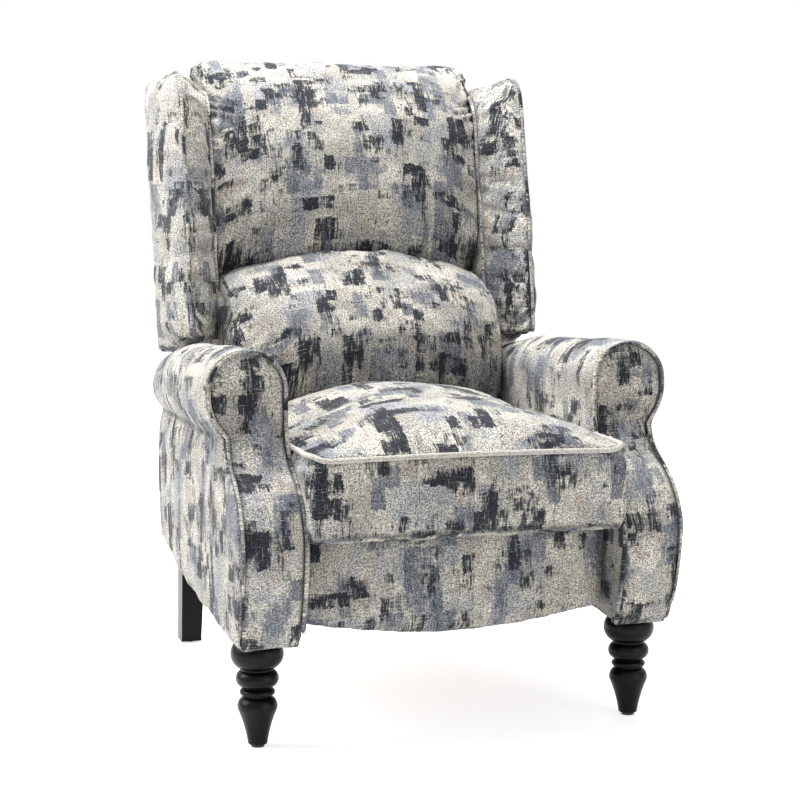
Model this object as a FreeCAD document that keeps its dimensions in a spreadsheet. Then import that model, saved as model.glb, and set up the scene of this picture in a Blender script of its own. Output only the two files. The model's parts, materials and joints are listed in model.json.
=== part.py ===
import FreeCAD, Part

import math
import os

import Sketcher

# Push-back wingback recliner with rolled arms and turned front legs.
# Millimetres. +Z is up and the chair faces -Y. The origin is on the floor, in the
# middle of the chair's outline. Left means -X and right means +X.

Vector = FreeCAD.Vector
Placement = FreeCAD.Placement
Rotation = FreeCAD.Rotation
SIDES = {"left": -1, "right": 1}
X_AXIS = Vector(1, 0, 0)

# Driving dimensions: alias, value, meaning.
SIZES = [
    ("overall_depth", 848, "seat cushion's front to the rear feet"),
    ("arm_inner", 250, "middle of the chair to an arm's inner face"),
    ("arm_outer", 349, "middle of the chair to an arm's outer face"),
    ("arm_front", -288, "y of the roll's front face"),
    ("arm_rear", 217, "y of the arm's rear end"),
    ("roll_outer_front", 372, "roll's widest reach at the front"),
    ("roll_outer_rear", 360, "roll's widest reach at the rear"),
    ("roll_top_front", 595, "roll's top at the front"),
    ("roll_top_rear", 557, "roll's top at the rear"),
    ("facing_thick", 22, "padded front facing of an arm"),
    ("board_thick", 18, "plywood arm board"),
    ("leg_height", 158, "front leg, floor to arm"),
    ("leg_across", 302, "middle of the chair to a front leg's axis"),
    ("leg_along", -312, "y of a front leg's axis"),
    ("glide_radius", 10, "foot glide"),
    ("glide_thick", 3, "foot glide"),
    ("block_width", 56, "corner block over a front leg"),
    ("block_height", 172, "corner block over a front leg"),
    ("bolt_seat", 119, "floor to the lower end of a hanger bolt"),
    ("bolt_length", 101, "hanger bolt"),
    ("bolt_radius", 4, "frame and hanger bolts"),
    ("rail_bottom", 196, "underside of the base rails"),
    ("rail_height", 60, "base rails"),
    ("rail_thick", 25, "side rails of the base"),
    ("stretcher_height", 30, "cross stretcher of the base"),
    ("crossbar_thick", 22, "cross boards of base and seat frame"),
    ("seat_rail_bottom", 262, "underside of the seat frame"),
    ("seat_rail_height", 44, "seat frame boards"),
    ("seat_rail_thick", 26, "seat frame side boards"),
    ("plate_inner", 206, "inner face of a steel seat plate"),
    ("plate_thick", 3, "steel plates and links"),
    ("plate_gap", 0.5, "side gap from link to link"),
    ("link_width", 20, "footrest links"),
    ("anchor_gap", 1.5, "side gap from an anchor link to the arm"),
    ("pin_radius", 4, "pivot pins"),
    ("stud_radius", 5, "anchor studs and the front link shaft"),
    ("tube_radius", 8, "footrest drive tube"),
    ("running_gap", 0.05, "radial clearance of a turning pin"),
    ("wire_radius", 1.75, "sinuous spring wire"),
    ("spring_bend", 12, "bend radius of a sinuous spring"),
    ("spring_run", 26, "straight run of a sinuous spring"),
    ("back_lean", 12.74, "lean of the back, degrees"),
    ("hinge_along", 222, "y of the recline pivot"),
    ("hinge_height", 330, "z of the recline pivot"),
    ("post_width", 20, "back posts across"),
    ("post_depth", 33, "back posts through"),
    ("post_front", -5, "front face of a back post, behind the pivot"),
    ("post_low", 25, "start of a back post above the pivot"),
    ("post_high", 680, "end of a back post above the pivot"),
    ("panel_thick", 7, "outside back panel"),
    ("strap_width", 50, "back webbing"),
    ("cushion_half", 245, "half width of the seat cushion"),
    ("footrest_half", 243, "half width of the footrest"),
    ("ply_thick", 12, "footrest board and wing board"),
]

doc = FreeCAD.newDocument("WingbackRecliner")
sheet = doc.addObject("Spreadsheet::Sheet", "Sizes")
for row, (alias, value, meaning) in enumerate(SIZES, start=1):
    sheet.set(f"A{row}", alias)
    sheet.set(f"B{row}", str(value))
    sheet.set(f"C{row}", meaning)
    sheet.setAlias(f"B{row}", alias)
doc.recompute()

nodes = []


def size(alias):
    """A driving dimension, read from the sheet."""
    return float(getattr(sheet, alias))


def keep(obj, label):
    """List an object as a finished piece under its label."""
    obj.Label = label
    nodes.append(obj)
    return obj


def bind(obj, **expressions):
    """Tie properties of an object to expressions on the sheet's cells."""
    for prop, expression in expressions.items():
        obj.setExpression(prop, expression)
    return obj


def feature(label, shape):
    """Keep a shape made with geometry functions as a piece."""
    obj = doc.addObject("Part::Feature", label)
    obj.Shape = shape
    return keep(obj, label)


def box(name, length, width, height, corner, frame=None):
    """A board whose three sizes are expressions, with its low corner at a point."""
    obj = doc.addObject("Part::Box", name)
    bind(obj, Length=length, Width=width, Height=height)
    place = Placement(Vector(*corner), Rotation())
    obj.Placement = frame.multiply(place) if frame else place
    return obj


def pin(name, radius, start, end, y, z):
    """A round bar along X from start to end, its radius an expression."""
    obj = doc.addObject("Part::Cylinder", name)
    bind(obj, Radius=radius)
    obj.Height = abs(end - start)
    obj.Placement = Placement(Vector(min(start, end), y, z), Rotation(Vector(0, 1, 0), 90))
    return obj


def upright(name, radius, height, x, y, z):
    """A round bar along Z, its radius and height expressions."""
    obj = doc.addObject("Part::Cylinder", name)
    bind(obj, Radius=radius, Height=height)
    obj.Placement = Placement(Vector(x, y, z), Rotation())
    return obj


def cut(name, base, *tools):
    """Base less the tools, as a chain of boolean cuts."""
    result = base
    for number, tool in enumerate(tools, start=1):
        step = doc.addObject("Part::Cut", f"{name}_cut{number}")
        step.Base = result
        step.Tool = tool
        result = step
    return result


def fuse(name, *parts):
    """Parts joined into one solid."""
    obj = doc.addObject("Part::MultiFuse", name)
    obj.Shapes = list(parts)
    return obj


def group(name, parts):
    """Separate equal pieces kept together as one node."""
    obj = doc.addObject("Part::Compound", name)
    obj.Links = parts
    return keep(obj, name)


def bar(start, end):
    """A straight edge."""
    return Part.makeLine(Vector(*start), Vector(*end))


def arc(start, via, end):
    """An arc edge through three points."""
    return Part.Arc(Vector(*start), Vector(*via), Vector(*end)).toShape()


def mirrored(shape, side):
    """A shape made for +X, mirrored for the other side."""
    if side > 0:
        return shape
    return shape.mirror(Vector(0, 0, 0), X_AXIS)


def ruled_loft(wires):
    """A closed solid through sections, straight from each to the next."""
    return Part.makeLoft(wires, True, True)


def body_plane(body, role):
    """One of a body's own origin planes."""
    return next(item for item in body.Origin.OriginFeatures if item.Role == role)


def body_sketch(body, name, role, edges, circles=()):
    """A sketch on an origin plane: edges in its own two axes, and holes bound to the sheet."""
    sketch = body.newObject("Sketcher::SketchObject", name)
    sketch.AttachmentSupport = [(body_plane(body, role), "")]
    sketch.MapMode = "FlatFace"
    for edge in edges:
        sketch.addGeometry(edge, False)
    for across, along, radius in circles:
        index = sketch.addGeometry(Part.Circle(Vector(across, along, 0), Vector(0, 0, 1), 1), False)
        number = sketch.addConstraint(Sketcher.Constraint("Radius", index, 1.0))
        sketch.setExpression(f"Constraints[{number}]", radius)
    return sketch


def flat_line(start, end):
    """A straight sketch edge."""
    return Part.LineSegment(Vector(*start, 0), Vector(*end, 0))


def flat_arc(start, via, end):
    """A sketch arc through three points."""
    return Part.Arc(Vector(*start, 0), Vector(*via, 0), Vector(*end, 0))


def polygon(points):
    """Sketch edges round a list of points."""
    return [flat_line(a, b) for a, b in zip(points, points[1:] + points[:1])]


def stadium(start, end, radius):
    """Sketch edges of a link: two half rounds, each as two arcs, joined by lines."""
    angle = math.atan2(end[1] - start[1], end[0] - start[0])

    def rim(centre, turn):
        return (centre[0] + radius * math.cos(angle + turn), centre[1] + radius * math.sin(angle + turn))

    quarter = math.pi / 2
    eighth = math.pi / 4
    return [
        flat_line(rim(start, -quarter), rim(end, -quarter)),
        flat_arc(rim(end, -quarter), rim(end, -eighth), rim(end, 0)),
        flat_arc(rim(end, 0), rim(end, eighth), rim(end, quarter)),
        flat_line(rim(end, quarter), rim(start, quarter)),
        flat_arc(rim(start, quarter), rim(start, 3 * eighth), rim(start, 2 * quarter)),
        flat_arc(rim(start, 2 * quarter), rim(start, 5 * eighth), rim(start, 3 * quarter)),
    ]


def plate(name, outlines, holes, low_x, frame=None):
    """A steel plate in the YZ plane: pads of one or more outlines, with the same holes."""
    body = doc.addObject("PartDesign::Body", name)
    for number, (edges, wanted) in enumerate(outlines, start=1):
        circles = [holes[key] for key in wanted]
        sketch = body_sketch(body, f"{name}_outline{number}", "YZ_Plane", edges, circles)
        pad = body.newObject("PartDesign::Pad", f"{name}_pad{number}")
        pad.Profile = sketch
        pad.setExpression("Length", "Sizes.plate_thick")
        sketch.Visibility = False
    place = Placement(Vector(low_x, 0, 0), Rotation())
    body.Placement = frame.multiply(place) if frame else place
    return body


def low_x(side, inner, thick):
    """Low x of a piece that spans inner to inner + thick on one side."""
    return inner if side > 0 else -inner - thick


# Planes of the mechanism, across the chair, and where bolts end in the arms.
plate_thick = size("plate_thick")
rear_link_plane = size("plate_inner") + plate_thick + size("plate_gap")
front_link_plane = rear_link_plane + plate_thick + size("plate_gap")
outer_plane = front_link_plane + plate_thick + 2 * size("plate_gap")
post_inner = outer_plane + plate_thick
anchor_plane = size("arm_inner") - size("anchor_gap") - plate_thick
bolt_tip = 280

# Pivots of the footrest linkage, as (y, z), folded. The control link's pivots come from the
# same four bars solved for a link of constant length.
drive_pivot = (-278, 277)
control_pivot = (-280, 301)
knee_pivot = (-81, 242.3)
control_tip = (-85.7, 268.9)
footrest_pivot = (-297.7, 261.2)

# Recline pivot and the anchor link above it.
hinge_pivot = (size("hinge_along"), size("hinge_height"))
anchor_pivot = (150, 494)
anchor_tip = (270, 494)
back_frame = Placement(Vector(0, *hinge_pivot), Rotation(X_AXIS, -size("back_lean")))
back_slope = math.tan(math.radians(size("back_lean")))


def back_plane(height, through):
    """World y at a height of a plane of the back, by its distance behind the pivot."""
    rise = height - size("hinge_height")
    return size("hinge_along") + rise * back_slope + through / math.cos(math.radians(size("back_lean")))


def back_local(point):
    """A world (y, z) point in the back's own through and up axes."""
    lean = math.radians(size("back_lean"))
    along, rise = point[0] - hinge_pivot[0], point[1] - hinge_pivot[1]
    return (along * math.cos(lean) - rise * math.sin(lean), along * math.sin(lean) + rise * math.cos(lean))


# Arms


def between(y, table):
    """Straight-line value at y from rising (y, value) pairs."""
    for (y0, v0), (y1, v1) in zip(table, table[1:]):
        if y <= y1:
            return v0 + (v1 - v0) * (y - y0) / (y1 - y0)
    return table[-1][1]


def arm_stations():
    """Places along an arm where its section is given: y and the height of its underside."""
    return [(-440, 158), (-285, 166), (-80, 185), (70, 200), (size("arm_rear"), 234)]


def arm_section(y, bottom):
    """Right arm's section: flat inner face, rolled top, and side under the roll."""
    front, rear = size("arm_front"), size("arm_rear")
    top_front, reach_front = size("roll_top_front"), size("roll_outer_front")
    tops = [(-440, top_front), (front, top_front), (70, 579), (rear, size("roll_top_rear"))]
    reaches = [(-440, reach_front), (front, reach_front), (rear, size("roll_outer_rear"))]
    inner, outer = size("arm_inner"), size("arm_outer") - (3 if y < front else 0)
    top, reach = between(y, tops), between(y, reaches)
    radius = (reach - inner) / 2
    middle, centre = inner + radius, top - radius
    diagonal = radius * math.sqrt(0.5)
    waist = 460
    edges = [
        bar((inner, y, bottom), (inner, y, centre)),
        arc((inner, y, centre), (middle - diagonal, y, centre + diagonal), (middle, y, top)),
        arc((middle, y, top), (middle + diagonal, y, centre + diagonal), (reach, y, centre)),
        arc((reach, y, centre), (reach - 5, y, (centre + waist) / 2 - 6), (outer, y, waist)),
        bar((outer, y, waist), (outer, y, bottom)),
        bar((outer, y, bottom), (inner, y, bottom)),
    ]
    return Part.Wire(edges)


def facing_region(shift):
    """Everything ahead of the arm's front curve, moved back by shift."""
    face = size("arm_front") + shift
    ahead, reach = -520, 460
    points = [(face, 640), (face, 482), (face - 53, 408), (face - 123, 317), (face - 84, 158),
              (face - 84, 120)]
    hollow = (face - 12, 443)
    bulge = (face - 105, 364)
    belly = (face - 112, 240)

    def at(point):
        return Vector(200, point[0], point[1])

    edges = [
        Part.makeLine(at(points[0]), at(points[1])),
        Part.Arc(at(points[1]), at(hollow), at(points[2])).toShape(),
        Part.Arc(at(points[2]), at(bulge), at(points[3])).toShape(),
        Part.Arc(at(points[3]), at(belly), at(points[4])).toShape(),
        Part.makeLine(at(points[4]), at(points[5])),
        Part.makeLine(at(points[5]), at((ahead, 120))),
        Part.makeLine(at((ahead, 120)), at((ahead, 640))),
        Part.makeLine(at((ahead, 640)), at(points[0])),
    ]
    return Part.Face(Part.Wire(edges)).extrude(Vector(reach - 200, 0, 0))


def board_outline():
    """Arm board in side view: (y, z) corners."""
    return [(-284, 172), (200, 236), (200, 518), (-262, 548), (-262, 470), (-284, 430)]


def make_arms():
    """Arm boards, corner blocks, padded covers and front facings."""
    block = size("block_width")
    board_x = size("arm_inner") + 12
    form = ruled_loft([arm_section(y, bottom) for y, bottom in arm_stations()])
    facing = form.common(facing_region(size("facing_thick"))).cut(facing_region(0))
    cover = form.cut(facing_region(size("facing_thick")))
    corners = board_outline()
    slot_corners = [(y, z - 60) for y, z in corners[:2]] + corners[2:]
    slot = Part.Face(Part.makePolygon([Vector(board_x, y, z) for y, z in slot_corners + slot_corners[:1]]))
    cover = cover.cut(slot.extrude(Vector(size("board_thick"), 0, 0)))
    cover = cover.cut(Part.makeBox(block, block, size("block_height"), Vector(*block_corner(1))))
    start = size("arm_inner") - 1
    holes = [(size("bolt_radius"), y, z) for y, z in arm_bolt_places()]
    holes.append((size("stud_radius") + 1, *anchor_pivot))
    for radius, y, z in holes:
        cover = cover.cut(Part.makeCylinder(radius, 40, Vector(start, y, z), X_AXIS))
    for name, side in SIDES.items():
        feature(f"arm_cover_{name}", mirrored(cover, side))
        feature(f"arm_facing_{name}", mirrored(facing, side))
        make_arm_board(name, side, board_x)
        make_corner_block(name, side)


def make_arm_board(name, side, board_x):
    """Plywood board with bores for the frame bolts and the anchor stud."""
    body = doc.addObject("PartDesign::Body", f"arm_board_{name}")
    holes = [(y, z, "Sizes.bolt_radius") for y, z in arm_bolt_places()]
    holes.append((*anchor_pivot, "Sizes.stud_radius + Sizes.running_gap"))
    sketch = body_sketch(body, f"arm_board_outline_{name}", "YZ_Plane", polygon(board_outline()), holes)
    pad = body.newObject("PartDesign::Pad", f"arm_board_pad_{name}")
    pad.Profile = sketch
    pad.setExpression("Length", "Sizes.board_thick")
    body.Placement = Placement(Vector(low_x(side, board_x, size("board_thick")), 0, 0), Rotation())
    keep(body, f"arm_board_{name}")


def block_corner(side):
    """Low corner of the corner block over a front leg."""
    half = size("block_width") / 2
    return (side * size("leg_across") - half, size("leg_along") - half, size("leg_height"))


def make_corner_block(name, side):
    """Hardwood block that takes the hanger bolt of a front leg."""
    raw = box(f"corner_block_raw_{name}", "Sizes.block_width", "Sizes.block_width", "Sizes.block_height",
              block_corner(side))
    depth = "Sizes.bolt_seat + Sizes.bolt_length - Sizes.leg_height"
    hole = upright(f"corner_block_bore_{name}", "Sizes.bolt_radius", depth, side * size("leg_across"),
                   size("leg_along"), size("leg_height"))
    keep(cut(f"corner_block_{name}", raw, hole), f"corner_block_{name}")


def arm_bolt_places():
    """Where frame bolts join a side rail to an arm board, as (y, z)."""
    middle = size("rail_bottom") + size("rail_height") * 0.7
    return [(-190, middle), (110, middle + 4)]


def leg_bolt_places():
    """Where frame bolts join a side rail to a rear leg, as (y, z)."""
    return [(366, 212), (360, 240)]


# Legs and base frame


def make_front_legs():
    """Turned legs: a revolved profile of radius against height."""
    foot, top, seat = size("glide_thick"), size("leg_height"), size("bolt_seat")
    for name, side in SIDES.items():
        body = doc.addObject("PartDesign::Body", f"front_leg_{name}")
        edges = [
            flat_line((size("bolt_radius"), seat), (0, seat)),
            flat_line((0, seat), (0, foot)),
            flat_line((0, foot), (11, foot)),
            flat_arc((11, foot), (13.8, 4.4), (15, 8)),
            flat_arc((15, 8), (20.5, 33), (29.5, 58)),
            flat_arc((29.5, 58), (28, 70), (20, 77)),
            flat_line((20, 77), (20, 79)),
            flat_arc((20, 79), (26.5, 83), (20.5, 88)),
            flat_line((20.5, 88), (21.5, 91)),
            flat_arc((21.5, 91), (32.2, 104), (24, 117)),
            flat_line((24, 117), (24, 119)),
            flat_arc((24, 119), (39.7, 139), (34, top)),
            flat_line((34, top), (size("bolt_radius"), top)),
            flat_line((size("bolt_radius"), top), (size("bolt_radius"), seat)),
        ]
        sketch = body_sketch(body, f"front_leg_profile_{name}", "XZ_Plane", edges)
        turn = body.newObject("PartDesign::Revolution", f"front_leg_turn_{name}")
        turn.Profile = sketch
        turn.ReferenceAxis = (sketch, ["V_Axis"])
        turn.Angle = 360
        body.Placement = Placement(Vector(side * size("leg_across"), size("leg_along"), 0), Rotation())
        keep(body, f"front_leg_{name}")


def rear_leg_numbers():
    """Rear leg's foot and top rectangles: x range and y range of each, for +X."""
    rear = size("overall_depth") / 2
    return {"foot": (245, 282, rear - 38, rear), "top": (241, 286, 340, 385)}


def make_rear_legs():
    """Square legs, tapered and raked back, with a rebate for the side rail."""
    numbers = rear_leg_numbers()
    foot, top = numbers["foot"], numbers["top"]
    bottom = size("glide_thick")
    high = size("rail_bottom") + size("rail_height")
    for name, side in SIDES.items():
        leg = doc.addObject("Part::Wedge", f"rear_leg_raw_{name}")
        leg.Xmin, leg.Xmax = sorted((side * foot[0], side * foot[1]))
        leg.X2min, leg.X2max = sorted((side * top[0], side * top[1]))
        leg.Zmin, leg.Zmax = -foot[3], -foot[2]
        leg.Z2min, leg.Z2max = -top[3], -top[2]
        leg.Ymin, leg.Ymax = bottom, high
        leg.Placement = Placement(Vector(0, 0, 0), Rotation(X_AXIS, 90))
        rebate = box(f"rear_leg_rebate_{name}", "30", "120", "Sizes.rail_height + 10",
                     (low_x(side, size("arm_inner") - 30, 30), 300, size("rail_bottom")))
        bores = [pin(f"rear_leg_bore_{name}_{number}", "Sizes.bolt_radius", side * 240, side * bolt_tip, y, z)
                 for number, (y, z) in enumerate(leg_bolt_places(), start=1)]
        keep(cut(f"rear_leg_{name}", leg, rebate, *bores), f"rear_leg_{name}")


def make_glides_and_bolts():
    """Foot glides, hanger bolts and frame bolts."""
    foot = rear_leg_numbers()["foot"]
    places = [(size("leg_across"), size("leg_along")), ((foot[0] + foot[1]) / 2, (foot[2] + foot[3]) / 2)]
    glides, hangers, bolts = [], [], []
    for name, side in SIDES.items():
        for number, (x, y) in enumerate(places, start=1):
            glides.append(upright(f"glide_{name}_{number}", "Sizes.glide_radius", "Sizes.glide_thick",
                                  side * x, y, 0))
        hangers.append(upright(f"hanger_{name}", "Sizes.bolt_radius", "Sizes.bolt_length",
                               side * size("leg_across"), size("leg_along"), size("bolt_seat")))
        start = size("arm_inner") - size("rail_thick")
        for number, (y, z) in enumerate(arm_bolt_places() + leg_bolt_places(), start=1):
            bolts.append(pin(f"frame_bolt_{name}_{number}", "Sizes.bolt_radius",
                             side * start, side * bolt_tip, y, z))
    group("foot_glides", glides)
    group("hanger_bolts", hangers)
    group("frame_bolts", bolts)


def make_base_frame():
    """Side rails, rear rail and stretcher."""
    inner = size("arm_inner") - size("rail_thick")
    bottom, length = size("rail_bottom"), 625
    for name, side in SIDES.items():
        raw = box(f"side_rail_raw_{name}", "Sizes.rail_thick", str(length), "Sizes.rail_height",
                  (low_x(side, inner, size("rail_thick")), 385 - length, bottom))
        bores = [pin(f"side_rail_bore_{name}_{number}", "Sizes.bolt_radius", side * (inner - 1),
                     side * (size("arm_inner") + 1), y, z)
                 for number, (y, z) in enumerate(arm_bolt_places() + leg_bolt_places(), start=1)]
        keep(cut(f"side_rail_{name}", raw, *bores), f"side_rail_{name}")
    across = "2 * (Sizes.arm_inner - Sizes.rail_thick)"
    keep(box("base_rear_rail", across, "Sizes.crossbar_thick", "Sizes.rail_height", (-inner, 318, bottom)),
         "base_rear_rail")
    keep(box("base_stretcher", across, "Sizes.crossbar_thick", "Sizes.stretcher_height",
             (-inner, -8, bottom)), "base_stretcher")


def make_seat_tracks():
    """Steel channels on the arms in which the seat's nylon glides run."""
    low, high, lip = size("seat_rail_bottom"), size("seat_rail_bottom") + 38, 224
    web, outer = plate_thick, size("arm_inner")
    start, length = -155, 350
    outline = [(lip, low), (outer, low), (outer, high), (lip, high), (lip, high - web),
               (outer - web, high - web), (outer - web, low + web), (lip, low + web)]
    for name, side in SIDES.items():
        corners = [Vector(side * x, start, z) for x, z in outline]
        face = Part.Face(Part.makePolygon(corners + corners[:1]))
        feature(f"seat_track_{name}", face.extrude(Vector(0, length, 0)))


# Seat


def make_seat_frame():
    """Wooden seat frame, steel seat plates, nylon glides and pivot pins."""
    inner, thick = size("plate_inner") - size("seat_rail_thick"), size("seat_rail_thick")
    bottom = size("seat_rail_bottom")
    front, length = -262, 440
    for name, side in SIDES.items():
        keep(box(f"seat_rail_{name}", "Sizes.seat_rail_thick", str(length), "Sizes.seat_rail_height",
                 (low_x(side, inner, thick), front, bottom)), f"seat_rail_{name}")
        make_seat_plate(name, side)
    across = "2 * (Sizes.plate_inner - Sizes.seat_rail_thick)"
    rails = [box(f"seat_cross_rail_{number}", across, "Sizes.crossbar_thick", "Sizes.seat_rail_height",
                 (-inner, y, bottom))
             for number, y in enumerate((front, front + length - size("crossbar_thick")), start=1)]
    group("seat_cross_rails", rails)
    make_seat_glides()
    pins = []
    for name, side in SIDES.items():
        for number, (y, z) in enumerate((control_pivot, hinge_pivot), start=1):
            pins.append(pin(f"seat_pin_{name}_{number}", "Sizes.pin_radius", side * size("plate_inner"),
                            side * post_inner, y, z))
    group("seat_pivot_pins", pins)


def make_seat_plate(name, side):
    """Steel side plate that carries the linkage in front and the recline pivot behind."""
    outline = [(-293, 262), (165, 262), (225, 312), (237, 322), (237, 338), (229, 346), (214, 346),
               (190, 306), (-254, 306), (-266, 312), (-293, 312)]
    holes = {
        "drive": (*drive_pivot, "Sizes.tube_radius + Sizes.running_gap"),
        "control": (*control_pivot, "Sizes.pin_radius"),
        "hinge": (*hinge_pivot, "Sizes.pin_radius"),
    }
    body = plate(f"seat_plate_{name}", [(polygon(outline), holes.keys())], holes,
                 low_x(side, size("plate_inner"), plate_thick))
    keep(body, f"seat_plate_{name}")


def make_seat_glides():
    """Nylon blocks on the seat plates that slide in the tracks."""
    start = size("plate_inner") + plate_thick
    reach = size("arm_inner") - plate_thick - 0.5 - start
    low = size("seat_rail_bottom") + plate_thick + 0.3
    blocks = []
    for name, side in SIDES.items():
        for number, y in enumerate((-45, 130), start=1):
            blocks.append(box(f"seat_glide_{name}_{number}", str(reach), "30", "31.4",
                              (low_x(side, start, reach), y, low)))
    group("seat_glides", blocks)


def spring_shape(x, start, turns):
    """A sinuous spring: straight runs across, joined by half-turn bends, in one level plane."""
    bend, half = size("spring_bend"), size("spring_run") / 2
    level = spring_level()
    edges = [bar((x, start, level), (x + half, start, level))]
    side, y = 1, start
    for turn in range(turns):
        tip = (x + side * (half + bend), y + bend, level)
        edges.append(arc((x + side * half, y, level), tip, (x + side * half, y + 2 * bend, level)))
        y += 2 * bend
        if turn < turns - 1:
            edges.append(bar((x + side * half, y, level), (x - side * half, y, level)))
            side = -side
    edges.append(bar((x + side * half, y, level), (x, y, level)))
    path = Part.Wire(edges)
    rim = Part.Wire(Part.makeCircle(size("wire_radius"), Vector(x, start, level), X_AXIS))
    wire = path.makePipeShell([rim], True, False)
    expected = math.pi * size("wire_radius") ** 2 * path.Length
    gap = 2 * (bend - size("wire_radius"))
    print(f"spring: volume {wire.Volume:.0f} of {expected:.0f}, gap to itself {gap:.1f} mm")
    return wire


def spring_level():
    """Height of the springs' middle line, over the clips."""
    return size("seat_rail_bottom") + size("seat_rail_height") + 2 + size("wire_radius") + 0.1


def make_seat_suspension():
    """Springs, their clips, the felt deck and the cushion."""
    turns, start = 17, -252
    places = [-126, -42, 42, 126]
    springs = [spring_shape(x, start, turns) for x in places]
    feature("seat_springs", Part.makeCompound(springs))
    top = size("seat_rail_bottom") + size("seat_rail_height")
    end = start + 2 * size("spring_bend") * turns
    clips = [box(f"spring_clip_{number}", "18", "12", "2", (x - 9, y - 6, top))
             for number, (x, y) in enumerate([(x, y) for x in places for y in (start, end)], start=1)]
    group("spring_clips", clips)
    keep(box("seat_deck", "2 * Sizes.plate_inner - 4", "440", "3.5",
             (2 - size("plate_inner"), -262, top + 6)), "seat_deck")
    feature("seat_cushion", cushion_shape())


def cushion_section(y, half, low, edge, crown):
    """Section across the seat cushion: flat below, drawn-in boxing, domed top."""
    tuck, swell = 7, 3
    left_low, right_low = (-half + tuck, y, low), (half - tuck, y, low)
    left_top, right_top = (-half + swell, y, edge), (half - swell, y, edge)
    middle = (low + edge) / 2
    return Part.Wire([
        bar(left_low, right_low),
        arc(right_low, (half, y, middle), right_top),
        arc(right_top, (0, y, crown), left_top),
        arc(left_top, (-half, y, middle), left_low),
    ])


def cushion_shape():
    """Seat cushion: sections from its front boxing to the end under the lumbar pillow."""
    half = size("cushion_half")
    front = -size("overall_depth") / 2
    stations = [
        (front, half - 14, 330, 434, 437),
        (front + 6, half - 4, 320, 443, 451),
        (front + 24, half, 316.5, 446, 464),
        (front + 100, half - 1, 316.5, 447, 486),
        (front + 240, half - 3, 316.5, 446, 500),
        (-40, half - 3, 316.5, 445, 503),
        (30, half - 3, 316.5, 443, 494),
        (75, half - 2, 316.5, 440, 462),
        (120, half - 2, 318, 434, 447),
        (165, half - 5, 322, 424, 438),
        (172, half - 14, 330, 412, 424),
    ]
    return ruled_loft([cushion_section(*station) for station in stations])


# Footrest linkage


def make_links():
    """Rear links on the drive tube, front links on the knee shaft, and control links."""
    width = size("link_width") / 2
    for name, side in SIDES.items():
        rear_holes = {
            "drive": (*drive_pivot, "Sizes.tube_radius"),
            "knee": (*knee_pivot, "Sizes.stud_radius + Sizes.running_gap"),
        }
        eye = stadium(drive_pivot, (drive_pivot[0] + 1, drive_pivot[1] - 0.2), width + 3)
        layers = [(stadium(drive_pivot, knee_pivot, width), rear_holes), (eye, ["drive"])]
        keep(plate(f"rear_link_{name}", layers, rear_holes, low_x(side, rear_link_plane, plate_thick)),
             f"rear_link_{name}")
        front_holes = {
            "knee": (*knee_pivot, "Sizes.stud_radius"),
            "foot": (*footrest_pivot, "Sizes.pin_radius + Sizes.running_gap"),
            "tip": (*control_tip, "Sizes.pin_radius"),
        }
        keep(plate(f"front_link_{name}",
                   [(stadium(knee_pivot, footrest_pivot, width), ["knee", "foot"]),
                    (stadium(knee_pivot, control_tip, width), ["knee", "tip"])],
                   front_holes, low_x(side, front_link_plane, plate_thick)), f"front_link_{name}")
        control_holes = {
            "control": (*control_pivot, "Sizes.pin_radius + Sizes.running_gap"),
            "tip": (*control_tip, "Sizes.pin_radius + Sizes.running_gap"),
        }
        keep(plate(f"control_link_{name}", [(stadium(control_pivot, control_tip, width - 1), control_holes)],
                   control_holes, low_x(side, outer_plane, plate_thick)), f"control_link_{name}")
    reach = rear_link_plane + plate_thick
    keep(pin("drive_tube", "Sizes.tube_radius", -reach, reach, *drive_pivot), "drive_tube")
    reach = front_link_plane + plate_thick
    keep(pin("knee_shaft", "Sizes.stud_radius", -reach, reach, *knee_pivot), "knee_shaft")


def footrest_outline(inset):
    """Footrest in front view, as (x, z) edges: a straight top and a scalloped foot."""
    half = size("footrest_half") - inset
    top, corner, middle = 314 - inset, 188 + inset, 158 + inset
    return half, top, corner, middle


def footrest_wire(y, inset):
    """Footrest outline at a depth, as a wire."""
    half, top, corner, middle = footrest_outline(inset)
    return Part.Wire([
        bar((-half, y, top), (half, y, top)),
        bar((half, y, top), (half, y, corner)),
        arc((half, y, corner), (0, y, middle), (-half, y, corner)),
        bar((-half, y, corner), (-half, y, top)),
    ])


def make_footrest():
    """Board, pad, and steel brackets with their pivot studs."""
    rear, ply = -308, size("ply_thick")
    board = Part.Face(footrest_wire(rear, 8)).extrude(Vector(0, -ply, 0))
    feature("footrest_board", board)
    front = rear - ply
    pad = ruled_loft([footrest_wire(front, 0), footrest_wire(front - 20, 0), footrest_wire(front - 28, 5)])
    feature("footrest_pad", pad)
    outline = [(rear, 240), (rear, 284), (rear + 18, 276), (rear + 22, 262), (rear + 18, 246)]
    for name, side in SIDES.items():
        blank = plate(f"footrest_bracket_plate_{name}", [(polygon(outline), [])], {},
                      low_x(side, outer_plane, plate_thick))
        stud = pin(f"footrest_stud_{name}", "Sizes.pin_radius", side * front_link_plane,
                   side * (outer_plane + plate_thick), *footrest_pivot)
        keep(fuse(f"footrest_bracket_{name}", blank, stud), f"footrest_bracket_{name}")


# Back


def make_anchor_links():
    """Steel links between the arms and the back, which the seat's travel follows in a recline."""
    width = size("link_width") / 2
    for name, side in SIDES.items():
        holes = {"tip": (*anchor_tip, "Sizes.stud_radius + Sizes.running_gap")}
        layers = [(stadium(anchor_pivot, anchor_tip, width), ["tip"])]
        blank = plate(f"anchor_link_plate_{name}", layers, holes, low_x(side, anchor_plane, plate_thick))
        stud = pin(f"anchor_stud_{name}", "Sizes.stud_radius", side * anchor_plane, side * bolt_tip,
                   *anchor_pivot)
        keep(fuse(f"anchor_link_{name}", blank, stud), f"anchor_link_{name}")


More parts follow.
